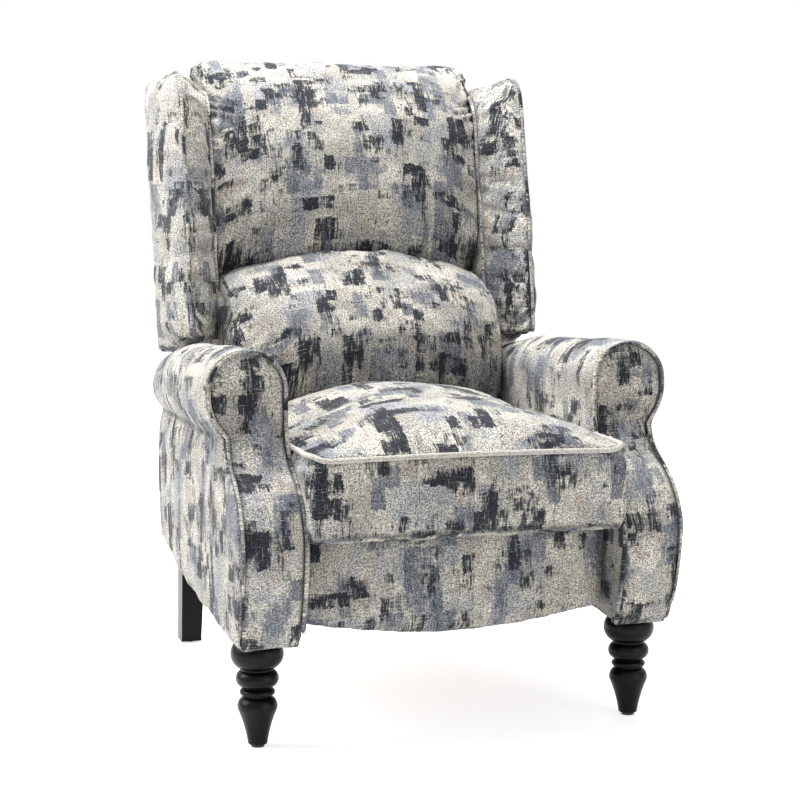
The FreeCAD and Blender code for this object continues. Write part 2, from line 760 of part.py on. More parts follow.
def make_back_frame():
    """Posts, cross rails, webbing, recline brackets and the outside back panel."""
    low, high = size("post_low"), size("post_high")
    for name, side in SIDES.items():
        raw = box(f"back_post_raw_{name}", "Sizes.post_width", "Sizes.post_depth",
                  "Sizes.post_high - Sizes.post_low",
                  (low_x(side, post_inner, size("post_width")), size("post_front"), low), back_frame)
        bore = pin(f"back_post_bore_{name}", "Sizes.stud_radius", side * (post_inner - 1),
                   side * (post_inner + size("post_width") + 1), *anchor_tip)
        keep(cut(f"back_post_{name}", raw, bore), f"back_post_{name}")
        make_back_bracket(name, side)
    rails = [box(f"back_cross_rail_{number}", str(2 * reach), "Sizes.crossbar_thick", "60",
                 (-reach, 3, start), back_frame)
             for number, (start, reach) in enumerate(((low, outer_plane), (high - 60, post_inner)), start=1)]
    group("back_cross_rails", rails)
    reach = post_inner + size("post_width") - 4
    straps = [box(f"back_strap_{number}", str(2 * reach), "2", "Sizes.strap_width",
                  (-reach, -7, 120 + 95 * number), back_frame) for number in range(5)]
    group("back_webbing", straps)
    make_back_panel()


def make_back_bracket(name, side):
    """Steel bracket on a post: turns on the recline pivot and carries the anchor stud."""
    tip = back_local(anchor_tip)
    holes = {"hinge": (0, 0, "Sizes.pin_radius + Sizes.running_gap")}
    blank = plate(f"back_bracket_plate_{name}", [(stadium((0, 0), tip, 12), ["hinge"])], holes,
                  low_x(side, outer_plane, plate_thick), back_frame)
    stud_end = anchor_plane - 0.5
    stud = pin(f"back_stud_{name}", "Sizes.stud_radius", side * outer_plane, side * stud_end, *anchor_tip)
    keep(fuse(f"back_bracket_{name}", blank, stud), f"back_bracket_{name}")


def make_back_panel():
    """Outside back: narrow between the arms, and as wide as the wings above them."""
    low, step, top = -40, 236, 715
    tail, narrow, wide, corner = 218, 236, 333, 34
    body = doc.addObject("PartDesign::Body", "back_panel")
    middle = corner * (1 - math.sqrt(0.5))
    right = [
        flat_line((0, low), (tail, low)),
        flat_line((tail, low), (tail, 20)),
        flat_line((tail, 20), (narrow, 32)),
        flat_line((narrow, 32), (narrow, step - 8)),
        flat_line((narrow, step - 8), (wide, step)),
        flat_line((wide, step), (wide, top - corner)),
        flat_arc((wide, top - corner), (wide - middle, top - middle), (wide - corner, top)),
        flat_line((wide - corner, top), (0, top)),
    ]
    left = [
        flat_line((0, top), (corner - wide, top)),
        flat_arc((corner - wide, top), (middle - wide, top - middle), (-wide, top - corner)),
        flat_line((-wide, top - corner), (-wide, step)),
        flat_line((-wide, step), (-narrow, step - 8)),
        flat_line((-narrow, step - 8), (-narrow, 32)),
        flat_line((-narrow, 32), (-tail, 20)),
        flat_line((-tail, 20), (-tail, low)),
        flat_line((-tail, low), (0, low)),
    ]
    sketch = body_sketch(body, "back_panel_outline", "XZ_Plane", right + left)
    pad = body.newObject("PartDesign::Pad", "back_panel_pad")
    pad.Profile = sketch
    pad.setExpression("Length", "Sizes.panel_thick")
    rear = size("post_front") + size("post_depth") + size("panel_thick")
    body.Placement = back_frame.multiply(Placement(Vector(0, rear, 0), Rotation()))
    keep(body, "back_panel")


def pillow_section(z, half, side_y, front_y, rear_y):
    """Level section of a back pillow: flat behind, drawn-in sides and a crowned front."""
    draw, least_crown = 3, 1
    rear_half = half - 2
    middle = (side_y + rear_y) / 2
    front_y = min(front_y, side_y - least_crown)
    return Part.Wire([
        bar((-rear_half, rear_y, z), (rear_half, rear_y, z)),
        arc((rear_half, rear_y, z), (half - draw, middle, z), (half, side_y, z)),
        arc((half, side_y, z), (0, front_y, z), (-half, side_y, z)),
        arc((-half, side_y, z), (draw - half, middle, z), (-rear_half, rear_y, z)),
    ])


def make_pillows():
    """Lumbar pillow with an arched top, and the upper pillow that wraps over the back."""
    rest = -8
    lumbar = [
        (456, 232, 128, 112, back_plane(456, rest)),
        (466, 240, 112, 90, back_plane(466, rest)),
        (482, 243, 104, 71, back_plane(482, rest)),
        (510, 243, 101, 52, back_plane(510, rest)),
        (571, 243, 108, 48, back_plane(571, rest)),
        (600, 243, 120, 56, 262),
        (642, 243, 146, 80, 262),
        (668, 243, 190, 100, 256),
        (684, 234, 222, 114, 250),
        (700, 190, 214, 130, 240),
        (714, 140, 205, 150, 228),
        (732, 60, 192, 184, 208),
    ]
    feature("lumbar_pillow", ruled_loft([pillow_section(*row) for row in lumbar]))
    upper = [
        (592, 240, 266, 265, back_plane(592, rest)),
        (642, 246, 266, 265, back_plane(642, rest)),
        (672, 246, 262, 260, back_plane(672, rest)),
        (700, 246, 248, 246, back_plane(700, rest)),
        (718, 246, 238, 230, back_plane(718, rest)),
        (740, 246, 233, 211, back_plane(740, rest)),
        (800, 246, 238, 194, back_plane(800, rest)),
        (880, 246, 250, 202, back_plane(880, rest)),
        (950, 246, 266, 224, back_plane(950, rest)),
        (995, 246, 292, 254, back_plane(995, rest)),
        (1006, 246, 298, 264, 400),
        (1023, 246, 312, 282, 403),
        (1038, 254, 328, 300, 404),
        (1052, 251, 345, 322, 398),
        (1062, 238, 360, 346, 388),
        (1067, 210, 369, 364, 378),
    ]
    feature("upper_pillow", ruled_loft([pillow_section(*row) for row in upper]))


def wing_rear():
    """Rear face of the wings: just ahead of the outside back panel."""
    return size("post_front") + size("post_depth") - 0.3


def wing_profile(x, front, top_front, peak, inset):
    """Side outline of a wing at one x: front edge, rounded top, leaning rear edge, foot in two slants."""
    rear = wing_rear()

    def at(y, z):
        return (x, y, z)

    low_front, mid_front, high_front = front
    rear_top = (back_plane(peak - 16, rear) - inset, peak - 16 - inset / 2)
    rear_low = (back_plane(550, rear) - inset, 550 + inset)
    points = [
        (low_front[0] + inset, low_front[1] + inset),
        (mid_front[0] + inset, mid_front[1]),
        (high_front[0] + inset, high_front[1] - inset / 2),
        (top_front[0] + inset / 2, top_front[1] - inset),
    ]
    crest = (points[3][0] * 0.4 + rear_top[0] * 0.6, peak - inset)
    heel = (rear_low[0] * 0.35 + points[0][0] * 0.65, rear_low[1] * 0.08 + points[0][1] * 0.92)
    shoulder = ((points[2][0] * 0.62 + points[3][0] * 0.38) - 8, points[2][1] * 0.38 + points[3][1] * 0.62)
    return Part.Wire([
        bar(at(*points[0]), at(*points[1])),
        bar(at(*points[1]), at(*points[2])),
        arc(at(*points[2]), at(*shoulder), at(*points[3])),
        bar(at(*points[3]), at(*crest)),
        bar(at(*crest), at(*rear_top)),
        bar(at(*rear_top), at(*rear_low)),
        bar(at(*rear_low), at(*heel)),
        bar(at(*heel), at(*points[0])),
    ])


def make_wings():
    """Padded wings over plywood frames that are fixed to the posts."""
    inner_front = ((196, 576), (226, 770), (262, 950))
    outer_front = ((120, 580), (147, 780), (188, 978))
    slant, welt = 26, 8
    rear = wing_rear()
    rear_front = tuple((back_plane(z, rear) - slant, z) for z in (560, 780, 978))
    sections = [
        wing_profile(247, inner_front, (330, 1008), 1020, 0),
        wing_profile(303, outer_front, (262, 1032), 1036, 0),
        wing_profile(312, outer_front, (262, 1032), 1036, welt),
        wing_profile(335, rear_front, (back_plane(1014, rear) - slant, 1014), 1024, 0),
    ]
    form = ruled_loft(sections)
    for name, side in SIDES.items():
        frame_shape = wing_frame_shape()
        feature(f"wing_frame_{name}", mirrored(frame_shape, side))
        feature(f"wing_pad_{name}", mirrored(form.cut(frame_shape), side))


def wing_frame_shape():
    """Plywood wing board with two blocks that reach to the back post."""
    rear = wing_rear() - 0.7
    board_x, ply = 292, size("ply_thick")
    low, high = 612, 985
    corners = [(212, low), (236, 780), (272, 930), (330, high), (back_plane(high, rear), high),
               (back_plane(low, rear), low)]
    outline = [Vector(board_x, y, z) for y, z in corners]
    board = Part.Face(Part.makePolygon(outline + outline[:1])).extrude(Vector(ply, 0, 0))
    start = post_inner + size("post_width")
    blocks = [Part.makeBox(board_x - start, 24, 60, Vector(start, 2, up)) for up in (330, 560)]
    for block in blocks:
        block.Placement = back_frame.multiply(block.Placement)
        board = board.fuse(block)
    return board.removeSplitter()


def check_objects():
    """Stop if any object failed or any piece is empty or not valid."""
    doc.recompute()
    for obj in doc.Objects:
        if "Invalid" in obj.State or "Error" in obj.State:
            raise RuntimeError(f"{obj.Label} failed: {obj.State}")
    for obj in nodes:
        if obj.Shape.isNull() or not obj.Shape.isValid() or not obj.Shape.Solids:
            raise RuntimeError(f"{obj.Label} has no valid solid")


def write_nodes():
    """Write one file for each piece."""
    os.makedirs("parts", exist_ok=True)
    for obj in nodes:
        obj.Shape.exportStep(os.path.join("parts", f"{obj.Label}.step"))
    print(f"{len(nodes)} pieces written")


make_arms()
make_front_legs()
make_rear_legs()
make_glides_and_bolts()
make_base_frame()
make_seat_tracks()
make_seat_frame()
make_seat_suspension()
make_links()
make_footrest()
make_anchor_links()
make_back_frame()
make_pillows()
make_wings()
check_objects()
write_nodes()
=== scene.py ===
import json
import logging
import math
from dataclasses import dataclass
from enum import Enum
from typing import Callable, Iterable, Sequence

import bmesh
import bpy
import numpy as np
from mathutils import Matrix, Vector, noise
from mathutils.bvhtree import BVHTree
from mathutils.kdtree import KDTree


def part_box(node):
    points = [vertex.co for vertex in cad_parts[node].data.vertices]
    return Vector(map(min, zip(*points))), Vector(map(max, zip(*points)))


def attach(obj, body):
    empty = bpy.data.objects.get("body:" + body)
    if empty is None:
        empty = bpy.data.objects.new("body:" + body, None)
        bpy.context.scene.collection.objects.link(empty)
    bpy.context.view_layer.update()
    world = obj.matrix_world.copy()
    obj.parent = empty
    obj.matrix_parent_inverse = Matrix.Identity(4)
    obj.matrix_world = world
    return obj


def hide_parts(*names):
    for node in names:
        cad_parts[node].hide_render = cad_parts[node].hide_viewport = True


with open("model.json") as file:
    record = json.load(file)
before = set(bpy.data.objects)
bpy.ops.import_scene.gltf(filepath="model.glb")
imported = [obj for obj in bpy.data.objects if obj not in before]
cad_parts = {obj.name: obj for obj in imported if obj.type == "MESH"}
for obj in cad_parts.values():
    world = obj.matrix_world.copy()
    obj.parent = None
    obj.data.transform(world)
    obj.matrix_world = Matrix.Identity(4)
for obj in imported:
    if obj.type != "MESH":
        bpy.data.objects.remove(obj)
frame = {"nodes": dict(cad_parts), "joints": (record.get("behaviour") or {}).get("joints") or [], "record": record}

# Wingback recliner with rolled arms. Metres, +Z up, the chair faces -Y.

log = logging.getLogger("recliner")

Ring = list[Vector]
Colour = tuple[int, int, int]
Rows = tuple[tuple[float, ...], ...]
ByPlace = Callable[[np.ndarray, np.ndarray], np.ndarray]
Object = bpy.types.Object
Mesh = bpy.types.Mesh
Material = bpy.types.Material
Socket = bpy.types.NodeSocket


class Side(Enum):
    """Which side of the chair a piece belongs to."""

    LEFT = -1
    RIGHT = 1

    @property
    def word(self) -> str:
        """The side's name in lower case."""
        return self.name.lower()


class Grain(Enum):
    """The axis along which wood grain runs."""

    ACROSS = 0
    ALONG = 1
    UP = 2


def linear(colour: Colour) -> tuple[float, float, float, float]:
    """A colour as written on a screen, 0 to 255, as a linear colour with alpha."""
    parts = [c / 255 for c in colour]
    bright = [c / 12.92 if c <= 0.04045 else ((c + 0.055) / 1.055) ** 2.4 for c in parts]
    return (*bright, 1.0)


# Curves and meshes


def arc_points(start: Vector, via: Vector, end: Vector, count: int) -> Ring:
    """Points on the circular arc through three points.

    Args:
        start: first point of the arc.
        via: a point that the arc passes.
        end: last point of the arc.
        count: how many points, with both ends.

    Returns:
        The points in order.
    """
    a, b = via - start, end - start
    normal = a.cross(b)
    if normal.length < 1e-9:
        return [start.lerp(end, i / (count - 1)) for i in range(count)]
    both = normal.cross(a) * b.length_squared + b.cross(normal) * a.length_squared
    centre = start + both / (2 * normal.length_squared)
    axis = normal.normalized()
    first = start - centre
    second = axis.cross(first)

    def turn(point: Vector) -> float:
        """Angle of a point round the centre, from the start."""
        offset = point - centre
        return math.atan2(offset.dot(second), offset.dot(first)) % (2 * math.pi)

    sweep = turn(end)
    if turn(via) > sweep:
        sweep -= 2 * math.pi
    return [centre + first * math.cos(sweep * i / (count - 1)) + second * math.sin(sweep * i / (count - 1))
            for i in range(count)]


def resample(points: Sequence[Vector], step: float) -> Ring:
    """Points an even step apart along a polyline, with both ends kept."""
    lengths = [0.0]
    for a, b in zip(points, points[1:]):
        lengths.append(lengths[-1] + (b - a).length)
    count = max(2, round(lengths[-1] / step) + 1)
    spots = np.linspace(0, lengths[-1], count)
    columns = [np.interp(spots, lengths, [p[axis] for p in points]) for axis in range(3)]
    return [Vector(p) for p in zip(*columns)]


def rounded(points: Sequence[Vector], passes: int = 3) -> Ring:
    """A polyline with its corners cut, pass by pass."""
    line = list(points)
    for _ in range(passes):
        cut = [line[0]]
        for a, b in zip(line, line[1:]):
            cut += [a.lerp(b, 0.25), a.lerp(b, 0.75)]
        line = cut + [line[-1]]
    return line


def quarter_round(distance: float, radius: float) -> float:
    """How far a rounded edge falls back at a distance from the end it rounds."""
    short = 1 - min(max(distance / radius, 0.0), 1.0)
    return radius * (1 - math.sqrt(1 - short * short))


def smooth_rows(rows: Sequence[Sequence[float]], count: int) -> list[tuple[float, ...]]:
    """Rows of sizes given at a few stations, as many rows on smooth curves through them.

    Args:
        rows: each row is a station and the sizes there, stations rising.
        count: how many rows to return.

    Returns:
        The rows, evenly spaced by index along the given ones.
    """
    table = np.array(rows)
    padded = np.vstack([table[0], table, table[-1]])
    result = []
    for spot in np.linspace(0, len(rows) - 1, count):
        i = min(int(spot), len(rows) - 2)
        t = spot - i
        p0, p1, p2, p3 = padded[i:i + 4]
        value = 0.5 * (2 * p1 + (p2 - p0) * t + (2 * p0 - 5 * p1 + 4 * p2 - p3) * t ** 2
                       + (3 * p1 - p0 - 3 * p2 + p3) * t ** 3)
        result.append(tuple(value))
    return result


def new_object(name: str, mesh: Mesh) -> Object:
    """Link a mesh to the scene as a smooth-shaded object."""
    obj = bpy.data.objects.new(name, mesh)
    bpy.context.scene.collection.objects.link(obj)
    mesh.polygons.foreach_set("use_smooth", [True] * len(mesh.polygons))
    return obj


def loft(name: str, rings: Sequence[Ring]) -> Object:
    """A closed mesh through rings of equal count, with flat ends.

    Args:
        name: name of the object.
        rings: closed loops of points, in order.

    Returns:
        The new object.
    """
    count = len(rings[0])
    verts = [tuple(p) for ring in rings for p in ring]
    faces = []
    for i in range(len(rings) - 1):
        for j in range(count):
            k = (j + 1) % count
            faces.append((i * count + j, i * count + k, (i + 1) * count + k, (i + 1) * count + j))
    last = (len(rings) - 1) * count
    faces.append(tuple(range(count))[::-1])
    faces.append(tuple(range(last, last + count)))
    mesh = bpy.data.meshes.new(name)
    mesh.from_pydata(verts, [], faces)
    build = bmesh.new()
    build.from_mesh(mesh)
    bmesh.ops.recalc_face_normals(build, faces=build.faces)
    build.to_mesh(mesh)
    build.free()
    return new_object(name, mesh)


def bake_modifiers(obj: Object) -> None:
    """Replace an object's mesh by its shape with all modifiers, and drop them."""
    shape = bpy.data.meshes.new_from_object(obj.evaluated_get(bpy.context.evaluated_depsgraph_get()))
    obj.modifiers.clear()
    old = obj.data
    obj.data = shape
    shape.name = obj.name
    bpy.data.meshes.remove(old)
    shape.polygons.foreach_set("use_smooth", [True] * len(shape.polygons))


def read_rows(items: bpy.types.bpy_prop_collection, name: str) -> np.ndarray:
    """A three-part value of each item of a mesh, one row each."""
    flat = np.empty(len(items) * 3)
    items.foreach_get(name, flat)
    return flat.reshape(-1, 3)


def read_counts(items: bpy.types.bpy_prop_collection, name: str) -> np.ndarray:
    """A whole number of each item of a mesh."""
    values = np.empty(len(items), dtype=int)
    items.foreach_get(name, values)
    return values


def read_points(mesh: Mesh) -> np.ndarray:
    """Vertex places of a mesh, one row each."""
    return read_rows(mesh.vertices, "co")


def write_points(mesh: Mesh, points: np.ndarray) -> None:
    """Set the vertex places of a mesh."""
    mesh.vertices.foreach_set("co", points.ravel())
    mesh.update()


def even_skin(obj: Object, voxel: float, smoothing: int) -> None:
    """Give a closed mesh an even skin of small quads.

    Args:
        obj: the object.
        voxel: size of a quad.
        smoothing: passes that round its edges.
    """
    remesh = obj.modifiers.new("even", "REMESH")
    remesh.mode = "VOXEL"
    remesh.voxel_size = voxel
    soften = obj.modifiers.new("soften", "SMOOTH")
    soften.factor = 0.5
    soften.iterations = smoothing
    bake_modifiers(obj)


def distance_to(lines: Sequence[Ring], points: np.ndarray, step: float = 0.002) -> np.ndarray:
    """Distance of each point to the nearest of some polylines."""
    spots = [p for line in lines for p in resample(line, step)]
    tree = KDTree(len(spots))
    for index, spot in enumerate(spots):
        tree.insert(spot, index)
    tree.balance()
    return np.array([tree.find(p)[2] for p in points])


@dataclass
class Stuffing:
    """How a stuffed cover is blown up between its seams.

    Attributes:
        voxel: size of a quad of the cloth.
        pressure: air pressure in the cover.
        most: how far a point may move.
        held: how near to a seam the cloth is held.
        smoothing: passes that round the sewn shape's edges first.
        slack: how much longer the cloth is than the shape it is sewn to.
        frames: how long it is blown.
    """

    voxel: float = 0.006
    pressure: float = 4.0
    most: float = 0.012
    held: float = 0.005
    smoothing: int = 3
    slack: float = 0.02
    frames: int = 12

    def fill(self, obj: Object, seams: Sequence[Ring]) -> None:
        """Turn a sewn shape into a stuffed one by cloth simulation.

        Args:
            obj: closed mesh of the sewn shape.
            seams: polylines where the cloth is held.
        """
        even_skin(obj, self.voxel, self.smoothing)
        self.blow(obj, seams)
        obj.modifiers.new("fine", "SUBSURF").levels = 1
        bake_modifiers(obj)

    def blow(self, obj: Object, seams: Sequence[Ring]) -> None:
        """Simulate the cover as cloth under pressure and keep the capped result."""
        rest = read_points(obj.data)
        near = distance_to(seams, rest) < self.held
        group = obj.vertex_groups.new(name="seam")
        group.add([int(i) for i in np.nonzero(near)[0]], 1.0, "REPLACE")
        cloth = obj.modifiers.new("cloth", "CLOTH")
        settings = cloth.settings
        settings.quality = 3
        settings.mass = 0.3
        settings.tension_stiffness = 12
        settings.compression_stiffness = 12
        settings.shear_stiffness = 5
        settings.bending_stiffness = 0.3
        settings.shrink_min = -self.slack
        settings.use_pressure = True
        settings.uniform_pressure_force = self.pressure
        settings.effector_weights.gravity = 0
        settings.vertex_group_mass = "seam"
        cloth.collision_settings.use_collision = False
        cloth.point_cache.frame_start = 1
        cloth.point_cache.frame_end = self.frames
        scene = bpy.context.scene
        for number in range(1, self.frames + 1):
            scene.frame_set(number)
        blown = obj.evaluated_get(bpy.context.evaluated_depsgraph_get())
        moved = read_points(blown.to_mesh()) - rest
        blown.to_mesh_clear()
        length = np.linalg.norm(moved, axis=1, keepdims=True)
        capped = moved * (self.most * np.tanh(length / self.most) / np.maximum(length, 1e-9))
        log.info("%s: blown by %.1f mm at most", obj.name, float(length.max()) * 1000)
        obj.modifiers.remove(cloth)
        scene.frame_set(1)
        write_points(obj.data, rest + capped)
        obj.vertex_groups.clear()


def keep_within(obj: Object, axis: int, low: float, high: float) -> None:
    """Press a soft piece flat where it meets its neighbours along one axis."""
    points = read_points(obj.data)
    points[:, axis] = np.clip(points[:, axis], low, high)
    write_points(obj.data, points)


def swell(obj: Object, amount: ByPlace) -> None:
    """Move each vertex along its normal by an amount worked out from places and normals."""
    points = read_points(obj.data)
    normals = read_rows(obj.data.vertices, "normal")
    write_points(obj.data, points + normals * amount(points, normals)[:, None])


def folds(places: np.ndarray, every: float, length: float, lean: float, seed: float) -> np.ndarray:
    """Heights of soft folds in a cloth, from -1 to 1.

    Args:
        places: flat places on the cloth, one row each.
        every: distance from fold to fold.
        length: length of a fold.
        lean: turn of the folds on the cloth, in radians; 0 has them upright.
        seed: which folds.

    Returns:
        One height for each place.
    """
    cos, sin = math.cos(lean), math.sin(lean)
    across = (places[:, 0] * cos + places[:, 1] * sin) / every
    along = (places[:, 1] * cos - places[:, 0] * sin) / length
    return np.array([noise.noise((a, b, seed)) for a, b in zip(across, along)]) * 1.6


def ease(values: np.ndarray, low: float, high: float) -> np.ndarray:
    """0 below low, 1 above high and smooth between, for each value."""
    share = np.clip((values - low) / (high - low), 0, 1)
    return share * share * (3 - 2 * share)


# How far the print of one piece is moved from the next one's, in metres
PRINT_STEP = (0.731, 0.457)


def lay_print(obj: Object, layout: ByPlace, seed: int) -> None:
    """Lay the printed cloth on a piece, as a flat place on the cloth for each face corner.

    Args:
        obj: the piece.
        layout: gives the place on the cloth from corner places and face normals.
        seed: which stretch of the cloth the piece was cut from.
    """
    mesh = obj.data
    corner = read_counts(mesh.loops, "vertex_index")
    sides = read_counts(mesh.polygons, "loop_total")
    normals = np.repeat(read_rows(mesh.polygons, "normal"), sides, axis=0)
    places = layout(read_points(mesh)[corner], normals) + seed * np.array(PRINT_STEP)
    stored = np.column_stack([places, np.zeros(len(places))])
    mesh.attributes.new("print_at", "FLOAT_VECTOR", "CORNER").data.foreach_set("vector", stored.ravel())


def paint_seam_shade(obj: Object, seams: Sequence[Ring], reach: float) -> None:
    """Store how close each vertex is to a seam, as the mask of the painted shade in the sewn crease."""
    near = np.zeros(len(obj.data.vertices))
    if seams:
        near = np.exp(-(distance_to(seams, read_points(obj.data)) / reach) ** 2)
    obj.data.attributes.new("seam", "FLOAT", "POINT").data.foreach_set("value", near)


def front_layout(points: np.ndarray, normals: np.ndarray) -> np.ndarray:
    """Cloth laid from the front over the top, and from the side on the sides."""
    over = np.column_stack([points[:, 0], points[:, 2] + points[:, 1]])
    beside = np.column_stack([points[:, 1] + 0.6, points[:, 2]])
    return np.where(np.abs(normals[:, :1]) > 0.75, beside, over)


def boxed_layout(points: np.ndarray, normals: np.ndarray) -> np.ndarray:
    """Cloth laid flat on the top, upright on the front and on each side."""
    top = points[:, :2]
    front = np.column_stack([points[:, 0] + 0.35, points[:, 2]])
    beside = np.column_stack([points[:, 1] + 0.9, points[:, 2]])
    chosen = np.where(np.abs(normals[:, :1]) > 0.6, beside, front)
    return np.where(np.abs(normals[:, 2:3]) > 0.55, top, chosen)


def upright_layout(points: np.ndarray, normals: np.ndarray) -> np.ndarray:
    """Cloth laid upright all round: across on faces to the front, along on the sides."""
    front = points[:, ::2]
    beside = np.column_stack([points[:, 1] + 0.6, points[:, 2]])
    return np.where(np.abs(normals[:, :1]) > np.abs(normals[:, 1:2]), beside, front)


# Finishes


class Graph:
    """Builds a material's nodes, with a short call for each kind."""

    def __init__(self, name: str) -> None:
        """Start an empty material with a shader and its output."""
        self.material = bpy.data.materials.new(name)
        self.material.use_nodes = True
        self.tree = self.material.node_tree
        self.tree.nodes.clear()
        self.shader = self.tree.nodes.new("ShaderNodeBsdfPrincipled")
        output = self.tree.nodes.new("ShaderNodeOutputMaterial")
        self.tree.links.new(self.shader.outputs[0], output.inputs[0])

    def plug(self, socket: Socket, value: object) -> None:
        """Link a socket into another, or set its value."""
        if isinstance(value, Socket):
            self.tree.links.new(value, socket)
        else:
            socket.default_value = value

    def attribute(self, name: str) -> bpy.types.Node:
        """Read a value stored on the mesh."""
        node = self.tree.nodes.new("ShaderNodeAttribute")
        node.attribute_name = name
        return node

    def place(self) -> Socket:
        """The place on the object, in metres."""
        return self.tree.nodes.new("ShaderNodeTexCoord").outputs["Object"]

    def step(self, kind: str, operation: str, first: object, second: object) -> Socket:
        """One step of arithmetic, by a node of some kind."""
        node = self.tree.nodes.new(kind)
        node.operation = operation
        self.plug(node.inputs[0], first)
        self.plug(node.inputs[1], second)
        return node.outputs[0]

    def times(self, first: object, second: object) -> Socket:
        """Two numbers multiplied."""
        return self.step("ShaderNodeMath", "MULTIPLY", first, second)

    def plus(self, first: object, second: object) -> Socket:
        """Two numbers added."""
        return self.step("ShaderNodeMath", "ADD", first, second)

    def minus(self, first: object, second: object) -> Socket:
        """The second number taken from the first."""
        return self.step("ShaderNodeMath", "SUBTRACT", first, second)

    def vector(self, operation: str, first: object, second: object) -> Socket:
        """One step of arithmetic on vectors."""
        return self.step("ShaderNodeVectorMath", operation, first, second)

    def stretched(self, at: object, by: object) -> Socket:
        """A place multiplied, part by part."""
        return self.vector("MULTIPLY", at, by)

    def shifted(self, at: object, by: object) -> Socket:
        """A place moved."""
        return self.vector("ADD", at, by)

    def noise(self, at: object, scale: float, detail: float = 2.0, rough: float = 0.5,
              output: str = "Fac") -> Socket:
        """Soft noise."""
        node = self.tree.nodes.new("ShaderNodeTexNoise")
        self.plug(node.inputs["Vector"], at)
        self.plug(node.inputs["Scale"], scale)
        self.plug(node.inputs["Detail"], detail)
        self.plug(node.inputs["Roughness"], rough)
        return node.outputs[output]

    def ramp(self, value: object, stops: Sequence[tuple[float, tuple]]) -> Socket:
        """A colour or grey looked up between stops."""
        node = self.tree.nodes.new("ShaderNodeValToRGB")
        elements = node.color_ramp.elements
        while len(elements) < len(stops):
            elements.new(0.5)
        for element, (position, colour) in zip(elements, stops):
            element.position = position
            element.color = colour
        self.plug(node.inputs[0], value)
        return node.outputs[0]

    def grey(self, value: object, low: float, high: float) -> Socket:
        """0 below low, 1 above high, and smooth between."""
        node = self.tree.nodes.new("ShaderNodeMapRange")
        node.interpolation_type = "SMOOTHSTEP"
        self.plug(node.inputs["Value"], value)
        self.plug(node.inputs["From Min"], low)
        self.plug(node.inputs["From Max"], high)
        return node.outputs[0]

    def mix(self, amount: object, first: object, second: object, mode: str = "MIX") -> Socket:
        """Two colours mixed."""
        node = self.tree.nodes.new("ShaderNodeMix")
        node.data_type = "RGBA"
        node.blend_type = mode
        self.plug(node.inputs[0], amount)
        self.plug(node.inputs[6], first)
        self.plug(node.inputs[7], second)
        return node.outputs[2]

    def bump(self, height: object, distance: float, strength: float) -> None:
        """Give the shader a bump from a height."""
        node = self.tree.nodes.new("ShaderNodeBump")
        node.inputs["Strength"].default_value = strength
        node.inputs["Distance"].default_value = distance
        self.plug(node.inputs["Height"], height)
        self.tree.links.new(node.outputs[0], self.shader.inputs["Normal"])

    def surface(self, colour: object, roughness: object, metallic: float = 0.0) -> None:
        """Set the shader's main values."""
        self.plug(self.shader.inputs["Base Color"], colour)
        self.plug(self.shader.inputs["Roughness"], roughness)
        self.shader.inputs["Metallic"].default_value = metallic


@dataclass(frozen=True)
class Blocks:
    """One layer of frayed blocks on the printed cloth.

    Attributes:
        columns: block edges in a metre across.
        rows: block edges in a metre up.
        wide: how quickly the layer changes across.
        tall: how quickly the layer changes up.
        share: level above which the colour prints, lower for more of it.
        soft: width of the faded edge.
        colour: the layer's main colour.
        other: colour that it varies to.
        cover: how solid it prints.
        fray: how much the streaks fray it.
    """

    columns: float
    rows: float
    wide: float
    tall: float
    share: float
    soft: float
    colour: Colour
    other: Colour
    cover: float
    fray: float


